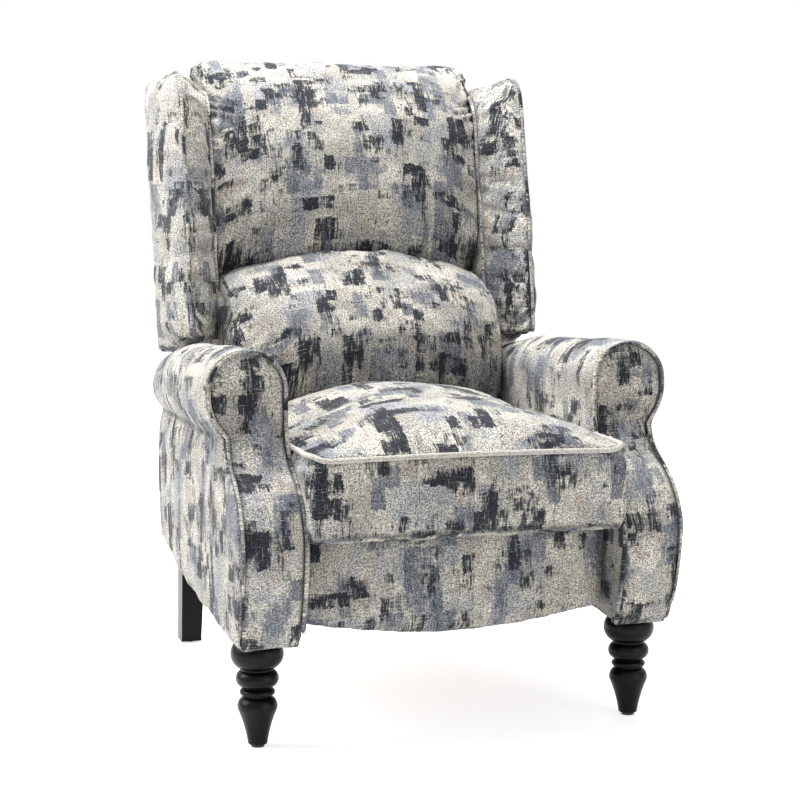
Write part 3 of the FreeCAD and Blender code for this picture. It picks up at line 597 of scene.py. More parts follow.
@dataclass(frozen=True)
class PrintedCloth:
    """Heathered upholstery cloth with a generic print of frayed blocks in greys and blues."""

    cream: Colour = (208, 204, 193)
    greige: Colour = (168, 165, 157)
    warm: Colour = (180, 166, 154)
    fleck_scale: float = 500.0
    layers: tuple[Blocks, ...] = (
        Blocks(40, 26, 15, 9, 0.504, 0.08, (122, 129, 141), (176, 178, 181), 0.78, 0.50),
        Blocks(48, 30, 19, 11, 0.524, 0.05, (74, 81, 93), (126, 132, 142), 0.88, 0.48),
        Blocks(54, 34, 22, 10, 0.548, 0.03, (20, 23, 30), (50, 55, 65), 0.98, 0.44),
        Blocks(70, 44, 16, 26, 0.566, 0.03, (18, 21, 27), (46, 51, 61), 0.98, 0.44),
    )

    def material(self) -> Material:
        """Build the cloth's material.

        Returns:
            The material, which reads print_at and seam, the mask of its painted seam shade, from the mesh.
        """
        graph = Graph("print_cloth")
        at = graph.attribute("print_at").outputs["Vector"]
        colour = self.ground(graph, at)
        ragged = graph.vector("SUBTRACT", graph.noise(at, 95, 4, 0.7, "Color"), (0.5, 0.5, 0.5))
        moved = graph.shifted(at, graph.stretched(ragged, (0.016, 0.022, 0.0)))
        upright = graph.noise(graph.stretched(at, (300.0, 42.0, 1.0)), 1.0, 5, 0.62)
        level = graph.noise(graph.stretched(at, (50.0, 340.0, 1.0)), 1.0, 5, 0.62)
        fine = graph.noise(at, self.fleck_scale, 2, 0.8)
        coarse = graph.noise(at, self.fleck_scale * 0.5, 2, 0.7)
        flecks = graph.plus(graph.times(fine, 0.6), graph.times(coarse, 0.4))
        lines = graph.plus(graph.times(upright, 0.48), graph.times(level, 0.22))
        streak = graph.plus(lines, graph.times(flecks, 0.30))
        for number, layer in enumerate(self.layers):
            colour = self.block_layer(graph, layer, at, moved, streak, colour, 3.7 + number * 5.37)
        colour = self.scratches(graph, at, colour)
        shade = graph.ramp(flecks, [(0.40, (0.10, 0.10, 0.11, 1)), (0.47, (0.60, 0.60, 0.61, 1)),
                                    (0.53, (1.0, 1.0, 1.0, 1)), (0.60, (1.6, 1.59, 1.56, 1))])
        colour = graph.mix(0.9, colour, shade, "MULTIPLY")
        # Painted shade: near seams the colour is mixed up to 80 % towards near-black, standing in for the shadow
        # in the sewn creases.
        crease = graph.times(graph.attribute("seam").outputs["Fac"], 0.8)
        colour = graph.mix(crease, colour, linear((26, 26, 30)))
        graph.surface(colour, 0.92)
        graph.shader.inputs["Sheen Weight"].default_value = 0.1
        graph.shader.inputs["Specular IOR Level"].default_value = 0.2
        graph.bump(flecks, 0.0012, 0.6)
        return graph.material

    def ground(self, graph: Graph, at: Socket) -> Socket:
        """Cream ground with greige and warm areas."""
        slow = graph.grey(graph.noise(at, 13, 6, 0.65), 0.38, 0.62)
        colour = graph.mix(slow, linear(self.cream), linear(self.greige))
        shifted = graph.shifted(at, (7.3, 2.9, 0.0))
        warm = graph.times(graph.grey(graph.noise(shifted, 22, 5, 0.65), 0.54, 0.64), 0.7)
        return graph.mix(warm, colour, linear(self.warm))

    def block_layer(self, graph: Graph, layer: Blocks, at: Socket, moved: Socket,
                    streak: Socket, under: Socket, shift: float) -> Socket:
        """Lay one layer of blocks over a colour.

        Args:
            graph: the material's graph.
            layer: sizes and colours of the blocks.
            at: place on the cloth.
            moved: the same, made ragged.
            streak: streaks that fray the blocks.
            under: the colour below.
            shift: moves the layer on the cloth.

        Returns:
            The colour with the blocks.
        """
        away = (shift, shift * 1.31, 0.0)
        grid = (layer.columns, layer.rows, 1.0)
        cells = graph.vector("FLOOR", graph.stretched(graph.shifted(moved, away), grid), (0, 0, 0))
        back = (layer.wide / layer.columns, layer.tall / layer.rows, 0.0)
        stepped = graph.noise(graph.stretched(cells, back), 1.0, 2, 0.5)
        spread = graph.stretched(graph.shifted(at, away), (layer.wide * 0.8, layer.tall * 0.8, 0.0))
        flowing = graph.noise(spread, 1.0, 4, 0.6)
        level = graph.plus(graph.times(stepped, 0.6), graph.times(flowing, 0.4))
        frayed = graph.plus(level, graph.times(graph.minus(streak, 0.5), layer.fray))
        solid = graph.times(graph.grey(frayed, layer.share, layer.share + layer.soft), layer.cover)
        tone = graph.mix(graph.grey(streak, 0.42, 0.6), linear(layer.colour), linear(layer.other))
        return graph.mix(solid, under, tone)

    def scratches(self, graph: Graph, at: Socket, under: Socket) -> Socket:
        """Thin pale rubs and thin dark threads, up and across."""
        colour = under
        for number, (stretch, low, tint, cover) in enumerate((
                ((420.0, 26.0, 1.0), 0.60, self.cream, 0.55),
                ((34.0, 460.0, 1.0), 0.62, self.cream, 0.45),
                ((380.0, 20.0, 1.0), 0.625, (58, 63, 74), 0.7),
                ((24.0, 420.0, 1.0), 0.635, (64, 69, 80), 0.7))):
            shifted = graph.shifted(at, (number * 2.7 + 1.3, number * 1.9, 0.0))
            lines = graph.noise(graph.stretched(shifted, stretch), 1.0, 3, 0.6)
            seen = graph.times(graph.grey(lines, low, low + 0.06), cover)
            colour = graph.mix(seen, colour, linear(tint))
        return colour


@dataclass(frozen=True)
class Lacquer:
    """Satin black lacquer, a little worn and uneven."""

    colour: Colour = (7, 7, 8)
    worn: Colour = (18, 18, 19)

    def material(self) -> Material:
        """Build the lacquer's material."""
        graph = Graph("black_lacquer")
        at = graph.place()
        cloudy = graph.grey(graph.noise(at, 38, 5, 0.6), 0.42, 0.72)
        colour = graph.mix(graph.times(cloudy, 0.35), linear(self.colour), linear(self.worn))
        rough = graph.plus(graph.times(graph.noise(at, 160, 4, 0.6), 0.14), 0.24)
        graph.surface(colour, rough)
        graph.shader.inputs["Specular IOR Level"].default_value = 0.14
        graph.bump(graph.noise(at, 420, 3, 0.5), 0.0004, 0.25)
        return graph.material


@dataclass(frozen=True)
class Timber:
    """Planed frame wood with grain along one axis."""

    name: str
    pale: Colour
    dark: Colour
    grain: Grain

    def material(self) -> Material:
        """Build the wood's material."""
        graph = Graph(f"{self.name}_{self.grain.name.lower()}")
        stretch = [75.0, 75.0, 75.0]
        stretch[self.grain.value] = 5.0
        at = graph.stretched(graph.place(), tuple(stretch))
        rings = graph.noise(at, 1.0, 5, 0.6)
        pores = graph.noise(at, 5.0, 3, 0.6)
        colour = graph.mix(graph.grey(rings, 0.36, 0.66), linear(self.pale), linear(self.dark))
        colour = graph.mix(graph.times(graph.grey(pores, 0.58, 0.74), 0.35), colour, linear((96, 66, 40)))
        graph.surface(colour, graph.plus(graph.times(rings, 0.2), 0.5))
        graph.bump(pores, 0.0005, 0.3)
        return graph.material


@dataclass(frozen=True)
class Metal:
    """Painted steel or bright wire, with fine mottling and rubbed spots."""

    name: str
    colour: Colour
    rubbed: Colour
    metallic: float
    roughness: float

    def material(self) -> Material:
        """Build the metal's material."""
        graph = Graph(self.name)
        at = graph.place()
        spots = graph.grey(graph.noise(at, 55, 6, 0.66), 0.60, 0.74)
        colour = graph.mix(graph.times(spots, 0.5), linear(self.colour), linear(self.rubbed))
        rough = graph.plus(graph.times(graph.noise(at, 230, 4, 0.6), 0.2), self.roughness - 0.1)
        graph.surface(colour, rough, self.metallic)
        graph.bump(graph.noise(at, 800, 3, 0.6), 0.0002, 0.3)
        return graph.material


@dataclass(frozen=True)
class Textile:
    """Plain felt, webbing or piping: a fibrous colour with a close weave."""

    name: str
    colour: Colour
    fibre: Colour
    weave: float

    def material(self) -> Material:
        """Build the textile's material."""
        graph = Graph(self.name)
        at = graph.place()
        hairs = graph.noise(at, self.weave, 5, 0.75)
        colour = graph.mix(graph.grey(hairs, 0.4, 0.65), linear(self.colour), linear(self.fibre))
        graph.surface(colour, 0.95)
        graph.bump(hairs, 0.0012, 0.7)
        return graph.material


@dataclass(frozen=True)
class Nylon:
    """Moulded black nylon with a fine texture."""

    colour: Colour = (34, 34, 35)

    def material(self) -> Material:
        """Build the nylon's material."""
        graph = Graph("nylon")
        at = graph.place()
        grain = graph.noise(at, 900, 3, 0.6)
        colour = graph.mix(graph.times(grain, 0.3), linear(self.colour), linear((70, 70, 72)))
        graph.surface(colour, graph.plus(graph.times(grain, 0.2), 0.42))
        graph.bump(grain, 0.0003, 0.4)
        return graph.material


class Finishes:
    """All finishes of the chair, made once."""

    def __init__(self) -> None:
        """Make each material."""
        self.cloth = PrintedCloth().material()
        self.piping = Textile("piping", (212, 208, 198), (128, 127, 124), 480).material()
        self.lacquer = Lacquer().material()
        self.steel = Metal("black_steel", (36, 36, 38), (92, 90, 88), 0.0, 0.48).material()
        self.wire = Metal("spring_wire", (168, 168, 170), (112, 108, 104), 1.0, 0.34).material()
        self.felt = Textile("grey_felt", (86, 86, 88), (128, 127, 126), 900).material()
        self.webbing = Textile("black_webbing", (34, 34, 35), (64, 63, 63), 1300).material()
        self.nylon = Nylon().material()
        self.frame = {grain: Timber("frame_wood", (206, 170, 124), (170, 128, 84), grain).material()
                      for grain in Grain}
        self.plywood = {grain: Timber("plywood", (214, 184, 142), (186, 148, 104), grain).material()
                        for grain in Grain}

    def for_slot(self, slot: str, node: str) -> Material:
        """The finish of a piece of the frame.

        Args:
            slot: material slot that the record gives.
            node: name of the piece, whose longest side sets the grain.

        Returns:
            The material.
        """
        plain = {
            "print_fabric": self.cloth,
            "black_lacquer": self.lacquer,
            "painted_steel": self.steel,
            "spring_steel": self.wire,
            "felt": self.felt,
            "webbing": self.webbing,
            "nylon": self.nylon,
        }
        if slot in plain:
            return plain[slot]
        low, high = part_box(node)
        spans = [high[axis] - low[axis] for axis in range(3)]
        grain = Grain(spans.index(max(spans)))
        return (self.plywood if slot == "plywood" else self.frame)[grain]


@dataclass
class Piece:
    """Where a finished piece belongs.

    Attributes:
        body: body that it moves with.
        node: piece of the frame that it stands for, if any.
        fill: how tightly it is stuffed, or None for a thin cover; not used.
        seed: which stretch of the cloth it was cut from.
    """

    body: str
    node: str | None = None
    fill: float | None = None
    seed: int = 0


def hand_over(obj: Object, piece: Piece, material: Material, layout: ByPlace,
              seams: Sequence[Ring] = (), reach: float = 0.005) -> None:
    """Give a cloth piece its print, its finish and its body, and hide the piece of the frame that it stands for.

    Args:
        obj: the finished cover.
        piece: where it belongs.
        material: its cloth.
        layout: how the print lies on it.
        seams: seams whose creases get a painted shade in the cloth's colour.
        reach: how wide that painted shade is.
    """
    lay_print(obj, layout, piece.seed)
    paint_seam_shade(obj, seams, reach)
    obj.data.materials.clear()
    obj.data.materials.append(material)
    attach(obj, piece.body)
    if piece.node:
        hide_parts(piece.node)
    log.info("%s: %d faces, rides on %s", obj.name, len(obj.data.polygons), piece.body)


def cord_layout(points: np.ndarray, normals: np.ndarray) -> np.ndarray:
    """Cloth laid along a cord, across and up."""
    return np.column_stack([points[:, 0] + points[:, 1], points[:, 2]])


@dataclass
class Welt:
    """A cloth-covered cord sewn into a seam.

    Attributes:
        radius: radius of the covered cord at the start of its line.
        end_radius: radius at the end, if another.
        sides: faces round it.
        step: length of a face along it.
        sink: share of the radius that lies below the cloth.
    """

    radius: float = 0.0034
    end_radius: float | None = None
    sides: int = 10
    step: float = 0.005
    sink: float = 0.25

    def hug(self, line: Ring, cover: Object) -> Ring:
        """Lay a seam line on a finished cover, a little proud of it."""
        tree = BVHTree.FromPolygons([v.co for v in cover.data.vertices],
                                    [tuple(p.vertices) for p in cover.data.polygons])
        laid = []
        for point in resample(line, self.step):
            spot, normal, _, _ = tree.find_nearest(point)
            laid.append(spot + normal * self.radius * (1 - 2 * self.sink))
        for _ in range(3):
            laid = [laid[0]] + [(a + b * 2 + c) / 4 for a, b, c in zip(laid, laid[1:], laid[2:])] + [laid[-1]]
        return laid

    def sew(self, name: str, line: Ring, piece: Piece, material: Material,
            cover: Object | None = None) -> None:
        """Make the welt along a seam.

        Args:
            name: name of the welt.
            line: the seam.
            piece: where it belongs.
            material: the cloth.
            cover: finished cover that it lies on, if the line isn't on its surface already.
        """
        path = self.hug(line, cover) if cover else resample(line, self.step)
        rings = []
        side = None
        for index, point in enumerate(path):
            ahead = (path[min(index + 1, len(path) - 1)] - path[max(index - 1, 0)]).normalized()
            if side is None:
                side = ahead.orthogonal().normalized()
            side = (side - ahead * side.dot(ahead)).normalized()
            other = ahead.cross(side)
            end = min(index, len(path) - 1 - index)
            full = self.radius + ((self.end_radius or self.radius) - self.radius) * index / (len(path) - 1)
            radius = full * (0.55 if end == 0 else 0.9 if end == 1 else 1.0)
            rings.append([point + (side * math.cos(a) + other * math.sin(a)) * radius
                          for a in (2 * math.pi * i / self.sides for i in range(self.sides))])
        hand_over(loft(name, rings), piece, material, cord_layout)


# The back's plane: its lean, and the pivot read from the recline joint


@dataclass
class BackPlane:
    """The leaning plane of the back, by the recline pivot and the lean."""

    pivot_y: float
    pivot_z: float
    lean: float = math.radians(12.74)

    def at(self, height: float, through: float) -> float:
        """The y of a plane of the back at a height, by its distance behind the pivot."""
        return self.pivot_y + (height - self.pivot_z) * math.tan(self.lean) + through / math.cos(self.lean)


def back_plane() -> BackPlane:
    """The back's plane, from the recline joint of the frame."""
    joint = next(j for j in frame["joints"] if j["name"] == "back_recline")
    return BackPlane(joint["pos_m"][1], joint["pos_m"][2])


# Arms

# Places in an arm's section, counted from its inner bottom corner round: the roll's top, the
# waist under the roll, the outer bottom corner, and the number of points
CROWN, WAIST, CORNER, ROUND = 30, 55, 71, 77


@dataclass
class RolledArm:
    """A rolled arm: its cover, its padded front facing and their welts.

    Attributes:
        side: side of the chair.
        cloth: the printed cloth.
        outer: middle of the chair to the outer side, below the roll.
        reach_rear: the roll's widest reach at the rear.
        top_rear: the roll's top at the rear.
        waist: height where the roll's underside meets the outer side.
        middle_y: place along the arm where the roll's top is known between its ends.
        top_middle: the roll's top there.
        ahead: a place in front of the arm, where its section is that of its front.
        crease: depth of the crease under the roll.
        fullness: how far the outer side bulges.
        edge: how far the cover rolls in at the front.
        rear_round: radius of its rear edge.
        lip: how far the cover starts behind the facing's front.
        facing_depth: thickness of the facing.
        drop: the arm's front in side view, as arcs of (y, z) points.
        bottoms: the cover's lower edge, as (y, z) points.
    """

    side: Side
    cloth: Material
    outer: float = 0.349
    reach_rear: float = 0.360
    top_rear: float = 0.557
    waist: float = 0.461
    middle_y: float = 0.070
    top_middle: float = 0.579
    ahead: float = -0.44
    crease: float = 0.007
    fullness: float = 0.004
    edge: float = 0.007
    rear_round: float = 0.008
    lip: float = 0.003
    facing_depth: float = 0.022
    drop: Rows = (
        (-0.372, 0.158), (-0.400, 0.240), (-0.411, 0.317), (-0.393, 0.364), (-0.341, 0.408), (-0.300, 0.443),
        (-0.288, 0.482),
    )
    bottoms: Rows = (
        (-0.440, 0.158), (-0.285, 0.166), (-0.080, 0.185), (0.070, 0.200), (0.217, 0.234),
    )

    def __post_init__(self) -> None:
        """Read the arm's main sizes from the frame, on the right side."""
        cover_low, cover_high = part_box("arm_cover_right")
        facing_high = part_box("arm_facing_right")[1]
        self.inner = cover_low[0]
        self.rear = cover_high[1]
        self.reach_front = facing_high[0]
        self.top_front = facing_high[2]
        self.front = self.drop[-1][0]
        heights, places = [], []
        for first, via, last in zip(self.drop[::2], self.drop[1::2], self.drop[2::2]):
            for point in arc_points(*(Vector((0, y, z)) for y, z in (first, via, last)), 12):
                places.append(point.y)
                heights.append(point.z)
        self.drop_y, self.drop_z = places, heights

    def front_at(self, z: float) -> float:
        """The y of the arm's front at a height."""
        return float(np.interp(z, self.drop_z, self.drop_y))

    def top_at(self, y: float | np.ndarray) -> np.ndarray:
        """The roll's top at one place along the arm, or at many."""
        return np.interp(y, (self.front, self.middle_y, self.rear),
                         (self.top_front, self.top_middle, self.top_rear))

    def section(self, y: float) -> Ring:
        """The cover's section at a place along the arm, from the inner bottom corner round."""
        along = float(np.clip((y - self.front) / (self.rear - self.front), 0, 1))
        reach = self.reach_front + (self.reach_rear - self.reach_front) * along
        top = float(self.top_at(y))
        bottom = float(np.interp(y, *zip(*self.bottoms)))
        bottom = bottom + 0.0012 * math.sin(y * 61) + 0.0008 * math.sin(y * 143)
        radius = (reach - self.inner) / 2
        centre = Vector((self.inner + radius, y, top - radius))
        outer = self.outer - 0.003 * float(np.clip((self.front - y) / 0.03, 0, 1))
        low_in, low_out = Vector((self.inner, y, bottom)), Vector((outer, y, bottom))
        roll_in, roll_out = Vector((self.inner, y, centre.z)), Vector((reach, y, centre.z))
        crease = self.crease * float(ease(np.array(y), self.front + 0.02, self.front + 0.16))
        waist = Vector((outer - crease, y, self.waist - crease * 0.5))
        tuck = Vector((reach - 0.006 + crease * 0.3, y, (centre.z + self.waist) / 2 - 0.005))
        ring = [low_in.lerp(roll_in, i / 14) for i in range(14)]
        ring += arc_points(roll_in, centre + Vector((0, 0, radius)), roll_out, 33)[:-1]
        ring += arc_points(roll_out, tuck, waist, 10)[:-1]
        for i in range(16):
            t = i / 16
            point = waist.lerp(low_out, t)
            point.x += crease * math.sqrt(min(t * 9, 1)) * (1 - t) + self.fullness * math.sin(math.pi * t)
            ring.append(point)
        ring += [low_out.lerp(low_in, i / 6) for i in range(6)]
        return ring

    def shares(self) -> list[float]:
        """How far each point of a section rolls in at the front edge: none inside, full outside."""
        first, span = 16, 18
        return [float(np.clip((j - first) / span, 0, 1)) if j < CORNER else 0.5 for j in range(ROUND)]

    def drawn_in(self, ring: Ring, depths: Sequence[float]) -> Ring:
        """A section with each point drawn in at right angles to its outline."""
        result = []
        for j, point in enumerate(ring):
            ahead = ring[(j + 1) % len(ring)] - ring[j - 1]
            normal = Vector((-ahead.z, 0, ahead.x)).normalized()
            result.append(point - normal * depths[j])
        return result

    def mirrored(self, ring: Ring) -> Ring:
        """A ring for the right side, moved to this arm's side."""
        return [Vector((p.x * self.side.value, p.y, p.z)) for p in ring]

    def make_cover(self) -> Object:
        """The cover that goes over the roll and down both sides."""
        starts = [self.front_at(p.z) + self.lip for p in self.section(self.ahead)]
        near = [0, 0.0008, 0.002, 0.004, 0.0065, 0.010, 0.016]
        far = [0.016 + (1 - 0.016) * t for t in (i / 60 for i in range(1, 57))]
        far += [0.965, 0.980, 0.990, 0.997, 1.0]
        shares = self.shares()
        rings = []
        for step in [n / 0.55 for n in near] + far:
            ring = []
            for j, start in enumerate(starts):
                y = start + (self.rear - start) * step
                inset = shares[j] * quarter_round(y - start, self.edge)
                inset += quarter_round(self.rear - y, self.rear_round)
                around = self.section(y)
                ring.append(self.drawn_in(around, [inset] * len(around))[j])
            rings.append(ring)
        front_rings = self.inset(rings[0], lambda p: self.front_at(p.z) + self.lip + 0.011)
        rear_rings = self.inset(rings[-1], lambda p: self.rear)
        every = front_rings[::-1] + rings + rear_rings
        obj = loft(f"arm_cover_{self.side.word}_cloth", [self.mirrored(ring) for ring in every])
        obj.modifiers.new("fine", "SUBSURF").levels = 1
        bake_modifiers(obj)
        swell(obj, self.tension)
        return obj

    def tension(self, points: np.ndarray, normals: np.ndarray) -> np.ndarray:
        """Slanting folds over the roll behind the facing, and soft ripples down the sides."""
        places = self.cover_layout(points, normals)
        behind = points[:, 1] - np.interp(points[:, 2], self.drop_z, self.drop_y)
        clear = ease(behind, 0.012, 0.05) * ease(self.rear - points[:, 1], 0.01, 0.04)
        roll = ease(points[:, 2], self.waist, self.waist + 0.03)
        slanting = folds(places, 0.042, 0.15, -0.95, self.side.value) * np.exp(-behind / 0.26)
        slack = folds(places, 0.075, 0.20, -0.4, 4.0)
        ripples = folds(places, 0.060, 0.34, 0.1, 7.5)
        return clear * (roll * (0.0046 * slanting + 0.0016 * slack) + (1 - roll) * 0.0016 * ripples)

    def inset(self, ring: Ring, place: Callable[[Vector], float]) -> list[Ring]:
        """Rings that close an end of the cover, drawn in towards its middle."""
        middle = Vector((self.inner + 0.052, 0, 0.36))
        rings = []
        for share in (0.02, 0.06, 0.12, 0.2, 0.3, 0.4, 0.5, 0.6, 0.7, 0.8, 0.9, 0.98):
            inner = []
            for point in ring:
                spot = Vector((point.x + (middle.x - point.x) * share, 0,
                               point.z + (middle.z - point.z) * share))
                spot.y = place(spot)
                inner.append(spot)
            rings.append(inner)
        return rings

    def cover_layout(self, points: np.ndarray, normals: np.ndarray) -> np.ndarray:
        """Cloth laid along the arm and over its roll without a break."""
        radius = (self.reach_front - self.inner) / 2
        x = np.abs(points[:, 0])
        centre = self.top_at(points[:, 1]) - radius
        angle = np.arctan2(points[:, 2] - centre, x - self.inner - radius)
        over = centre + radius * (math.pi - angle)
        inside = points[:, 2]
        outside = centre + math.pi * radius + (centre - points[:, 2])
        around = np.where(points[:, 2] > centre, over, np.where(x < self.inner + radius, inside, outside))
        along = np.column_stack([points[:, 1], around])
        ends = np.abs(normals[:, 1]) > 0.75
        return np.where(ends[:, None], np.column_stack([points[:, 0] + 0.31, points[:, 2]]), along)

    def facing_layout(self, points: np.ndarray, normals: np.ndarray) -> np.ndarray:
        """Cloth laid up the curved front, as long as the curve is."""
        steps = np.hypot(np.diff(self.drop_y), np.diff(self.drop_z))
        lengths = np.concatenate([[0], np.cumsum(steps)])
        up = np.interp(points[:, 2], self.drop_z, lengths) + np.maximum(points[:, 2] - self.drop_z[-1], 0)
        behind = points[:, 1] - np.interp(points[:, 2], self.drop_z, self.drop_y)
        return np.column_stack([points[:, 0] + 0.7 * behind, up])

    def rim(self, shift: float, out: float = 0.0) -> Ring:
        """The facing's edge: up the inner side, over the roll and down the outer side.

        Args:
            shift: how far behind the front curve it lies.
            out: how far it stands out from the edge.

        Returns:
            The edge of the right arm's facing.
        """
        ring = self.section(self.ahead)
        line = self.drawn_in(ring, [share * self.edge - out for share in self.shares()])[1:CORNER - 1]
        return [Vector((p.x, self.front_at(p.z) + shift, max(p.z, 0.163))) for p in line]

    def make_facing(self) -> None:
        """The padded panel on the arm's front."""
        ring = self.section(self.ahead)
        ring = self.drawn_in(ring, [share * self.edge + 0.0012 for share in self.shares()])
        inner_side, outer_side = ring[1:CROWN + 1], ring[CROWN:CORNER][::-1]
        low, high = 0.1595, ring[CROWN].z
        heights = np.concatenate([np.linspace(low, 0.47, 40), np.linspace(0.476, high - 0.0005, 36)])
        rings = []
        for z in heights:
            left = float(np.interp(z, [p.z for p in inner_side], [p.x for p in inner_side]))
            right = float(np.interp(z, [p.z for p in outer_side], [p.x for p in outer_side]))
            near, far = self.front_at(z) + 0.001, self.front_at(z) + self.facing_depth
            across = np.linspace(left, right, 9)
            rings.append([Vector((x, near, z)) for x in across] + [Vector((x, far, z)) for x in across[::-1]])
        obj = loft(f"arm_facing_{self.side.word}_cloth", [self.mirrored(r) for r in rings])
        seams = [self.mirrored(self.rim(0.001)), self.mirrored(self.rim(self.facing_depth))]
        Stuffing(voxel=0.005, most=0.008, held=0.006, smoothing=2, slack=0.03).fill(obj, seams)
        swell(obj, self.facing_folds)
        piece = Piece("base", f"arm_facing_{self.side.word}", 0.7, 11 + self.side.value)
        hand_over(obj, piece, self.cloth, self.facing_layout, seams[:1], 0.0055)

    def facing_folds(self, points: np.ndarray, normals: np.ndarray) -> np.ndarray:
        """Upright ripples in the facing, deeper in the hollow under the roll."""
        places = self.facing_layout(points, normals)
        hollow = np.exp(-((points[:, 2] - 0.43) / 0.05) ** 2)
        side = self.side.value
        return (0.0012 + 0.0018 * hollow) * folds(places, 0.036, 0.13, 0.25 * side, 2.0 + side)

    def make(self) -> None:
        """Make the arm's pieces and their welts."""
        cover = self.make_cover()
        rim = self.mirrored(self.rim(0.0))
        ends = self.drawn_in(self.section(self.rear - 0.001), [0.0075] * ROUND)[1:CORNER]
        rear_edge = self.mirrored(ends)
        places = np.linspace(self.front + 0.09, self.rear, 30)
        crease = self.mirrored([self.section(y)[WAIST] for y in places])
        name = self.side.word
        piece = Piece("base", f"arm_cover_{name}", 0.7, 3 + self.side.value)
        # The painted seam shade darkens the cloth along the front rim, the rear edge and the crease under the
        # roll.
        hand_over(cover, piece, self.cloth, self.cover_layout, [rim, rear_edge, crease], 0.0045)
        self.make_facing()
        front_edge = self.mirrored(self.rim(-0.0008, 0.0006))
        Welt(radius=0.0036, end_radius=0.0022).sew(f"arm_front_welt_{name}", front_edge,
                                                   Piece("base", seed=20), self.cloth)
        Welt(radius=0.0026).sew(f"arm_rear_welt_{name}", rear_edge, Piece("base", seed=21), self.cloth)


# Seat and footrest


@dataclass
class SeatCushion:
    """The box-edged seat cushion with a paler welt round its top.

    Attributes:
        cloth: the printed cloth.
        piping: the plain cloth of its welt.
        rows: place along the chair, half width, underside, edge and crown.
        half_limit: how far it may reach sideways between the arms.
        proud_limit: how far it may reach in front of them.
    """

    cloth: Material
    piping: Material
    rows: Rows = (
        (-0.4225, 0.233, 0.327, 0.433, 0.436),
        (-0.420, 0.243, 0.320, 0.441, 0.446),
        (-0.402, 0.2470, 0.3165, 0.445, 0.462),
        (-0.324, 0.2450, 0.3165, 0.447, 0.485),
        (-0.184, 0.2430, 0.3165, 0.447, 0.500),
        (-0.040, 0.2430, 0.3165, 0.446, 0.503),
        (0.030, 0.2430, 0.3165, 0.444, 0.494),
        (0.075, 0.243, 0.3165, 0.440, 0.462),
        (0.120, 0.243, 0.318, 0.434, 0.447),
        (0.165, 0.240, 0.322, 0.424, 0.438),
        (0.172, 0.231, 0.330, 0.412, 0.424),
    )
    half_limit: float = 0.2478
    proud_limit: float = 0.2545

    def ring(self, y: float, half: float, low: float, edge: float, crown: float) -> Ring:
        """Section across the cushion: flat below, full boxing and a domed top."""
        ring = [Vector((x, y, low)) for x in np.linspace(-half + 0.006, half - 0.006, 14)]
        full = 0.0035 * float(ease(np.array(-y), 0.30, 0.40))
        levels = (0.15, 0.35, 0.55, 0.75, 0.92)
        sides = [(half + full * math.sin(math.pi * t), low + (edge - low) * t) for t in levels]
        ring += [Vector((x, y, z)) for x, z in sides]
        for x in np.linspace(half - 0.002, -half + 0.002, 30):
            ring.append(Vector((x, y, edge + (crown - edge) * (1 - abs(x / half) ** 2.3))))
        ring += [Vector((-x, y, z)) for x, z in sides[::-1]]
        return ring

    def seam(self, upper: bool) -> Ring:
        """The seam round the cushion's top or bottom, from the left side round the front."""
        side_rows = self.rows[2:9]
        front = self.rows[0]
        height = (lambda row: row[3] + 0.001) if upper else (lambda row: row[2] + 0.003)
        left = [Vector((-row[1], row[0], height(row))) for row in side_rows[::-1]]
        right = [Vector((row[1], row[0], height(row))) for row in side_rows]
        front_z = 0.4395 if upper else 0.3235
        front_half = front[1] - 0.002
        middle = [Vector((x, front[0] - 0.001, front_z + 0.003 * (1 - (x / front_half) ** 2)))
                  for x in np.linspace(-front_half, front_half, 14)]
        return rounded(left + middle + right, 2)

    def make(self) -> None:
        """Make the cushion and its welt."""
        rings = [self.ring(*row) for row in smooth_rows(self.rows, 46)]
        obj = loft("seat_cushion_cloth", rings)
        seams = [self.seam(True), self.seam(False)]
        Stuffing(most=0.015, held=0.0055, smoothing=3, slack=0.025, pressure=5).fill(obj, seams)
        swell(obj, self.wrinkles)
        self.settle(obj)
        hand_over(obj, Piece("seat", "seat_cushion", 0.8, 5), self.cloth, boxed_layout, seams)
        Welt(radius=0.0042, sink=0.15).sew("seat_welt", seams[0], Piece("seat", seed=23), self.piping, obj)

    def wrinkles(self, points: np.ndarray, normals: np.ndarray) -> np.ndarray:
        """Upright ripples in the boxing and shallow hollows in the top."""
        front = folds(points[:, ::2], 0.034, 0.16, 0.12, 3.0) * (np.abs(normals[:, 2]) < 0.6)
        top = folds(points[:, :2], 0.110, 0.150, 0.3, 9.0) * (normals[:, 2] > 0.6)
        return 0.0017 * front + 0.0022 * top

    def settle(self, obj: Object) -> None:
        """Press the cushion between the arms and onto its deck, and let its front hem wander."""
        points = read_points(obj.data)
        over = ease(points[:, 2], 0.405, 0.430) * ease(-points[:, 1], 0.33, 0.36)
        ahead = ease(-points[:, 1], 0.400, 0.416) + over
        limit = self.half_limit + (self.proud_limit - self.half_limit) * np.clip(ahead, 0, 1)
        points[:, 0] = np.clip(points[:, 0], -limit, limit)
        points[:, 2] = np.maximum(points[:, 2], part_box("seat_cushion")[0][2])
        hem = ease(-points[:, 1], 0.395, 0.415) * (1 - ease(points[:, 2], 0.325, 0.365))
        wander = np.array([noise.noise((x * 17, 0.3, 5.0)) for x in points[:, 0]])
        points[:, 2] += hem * (0.0055 * wander + 0.001)
        write_points(obj.data, points)


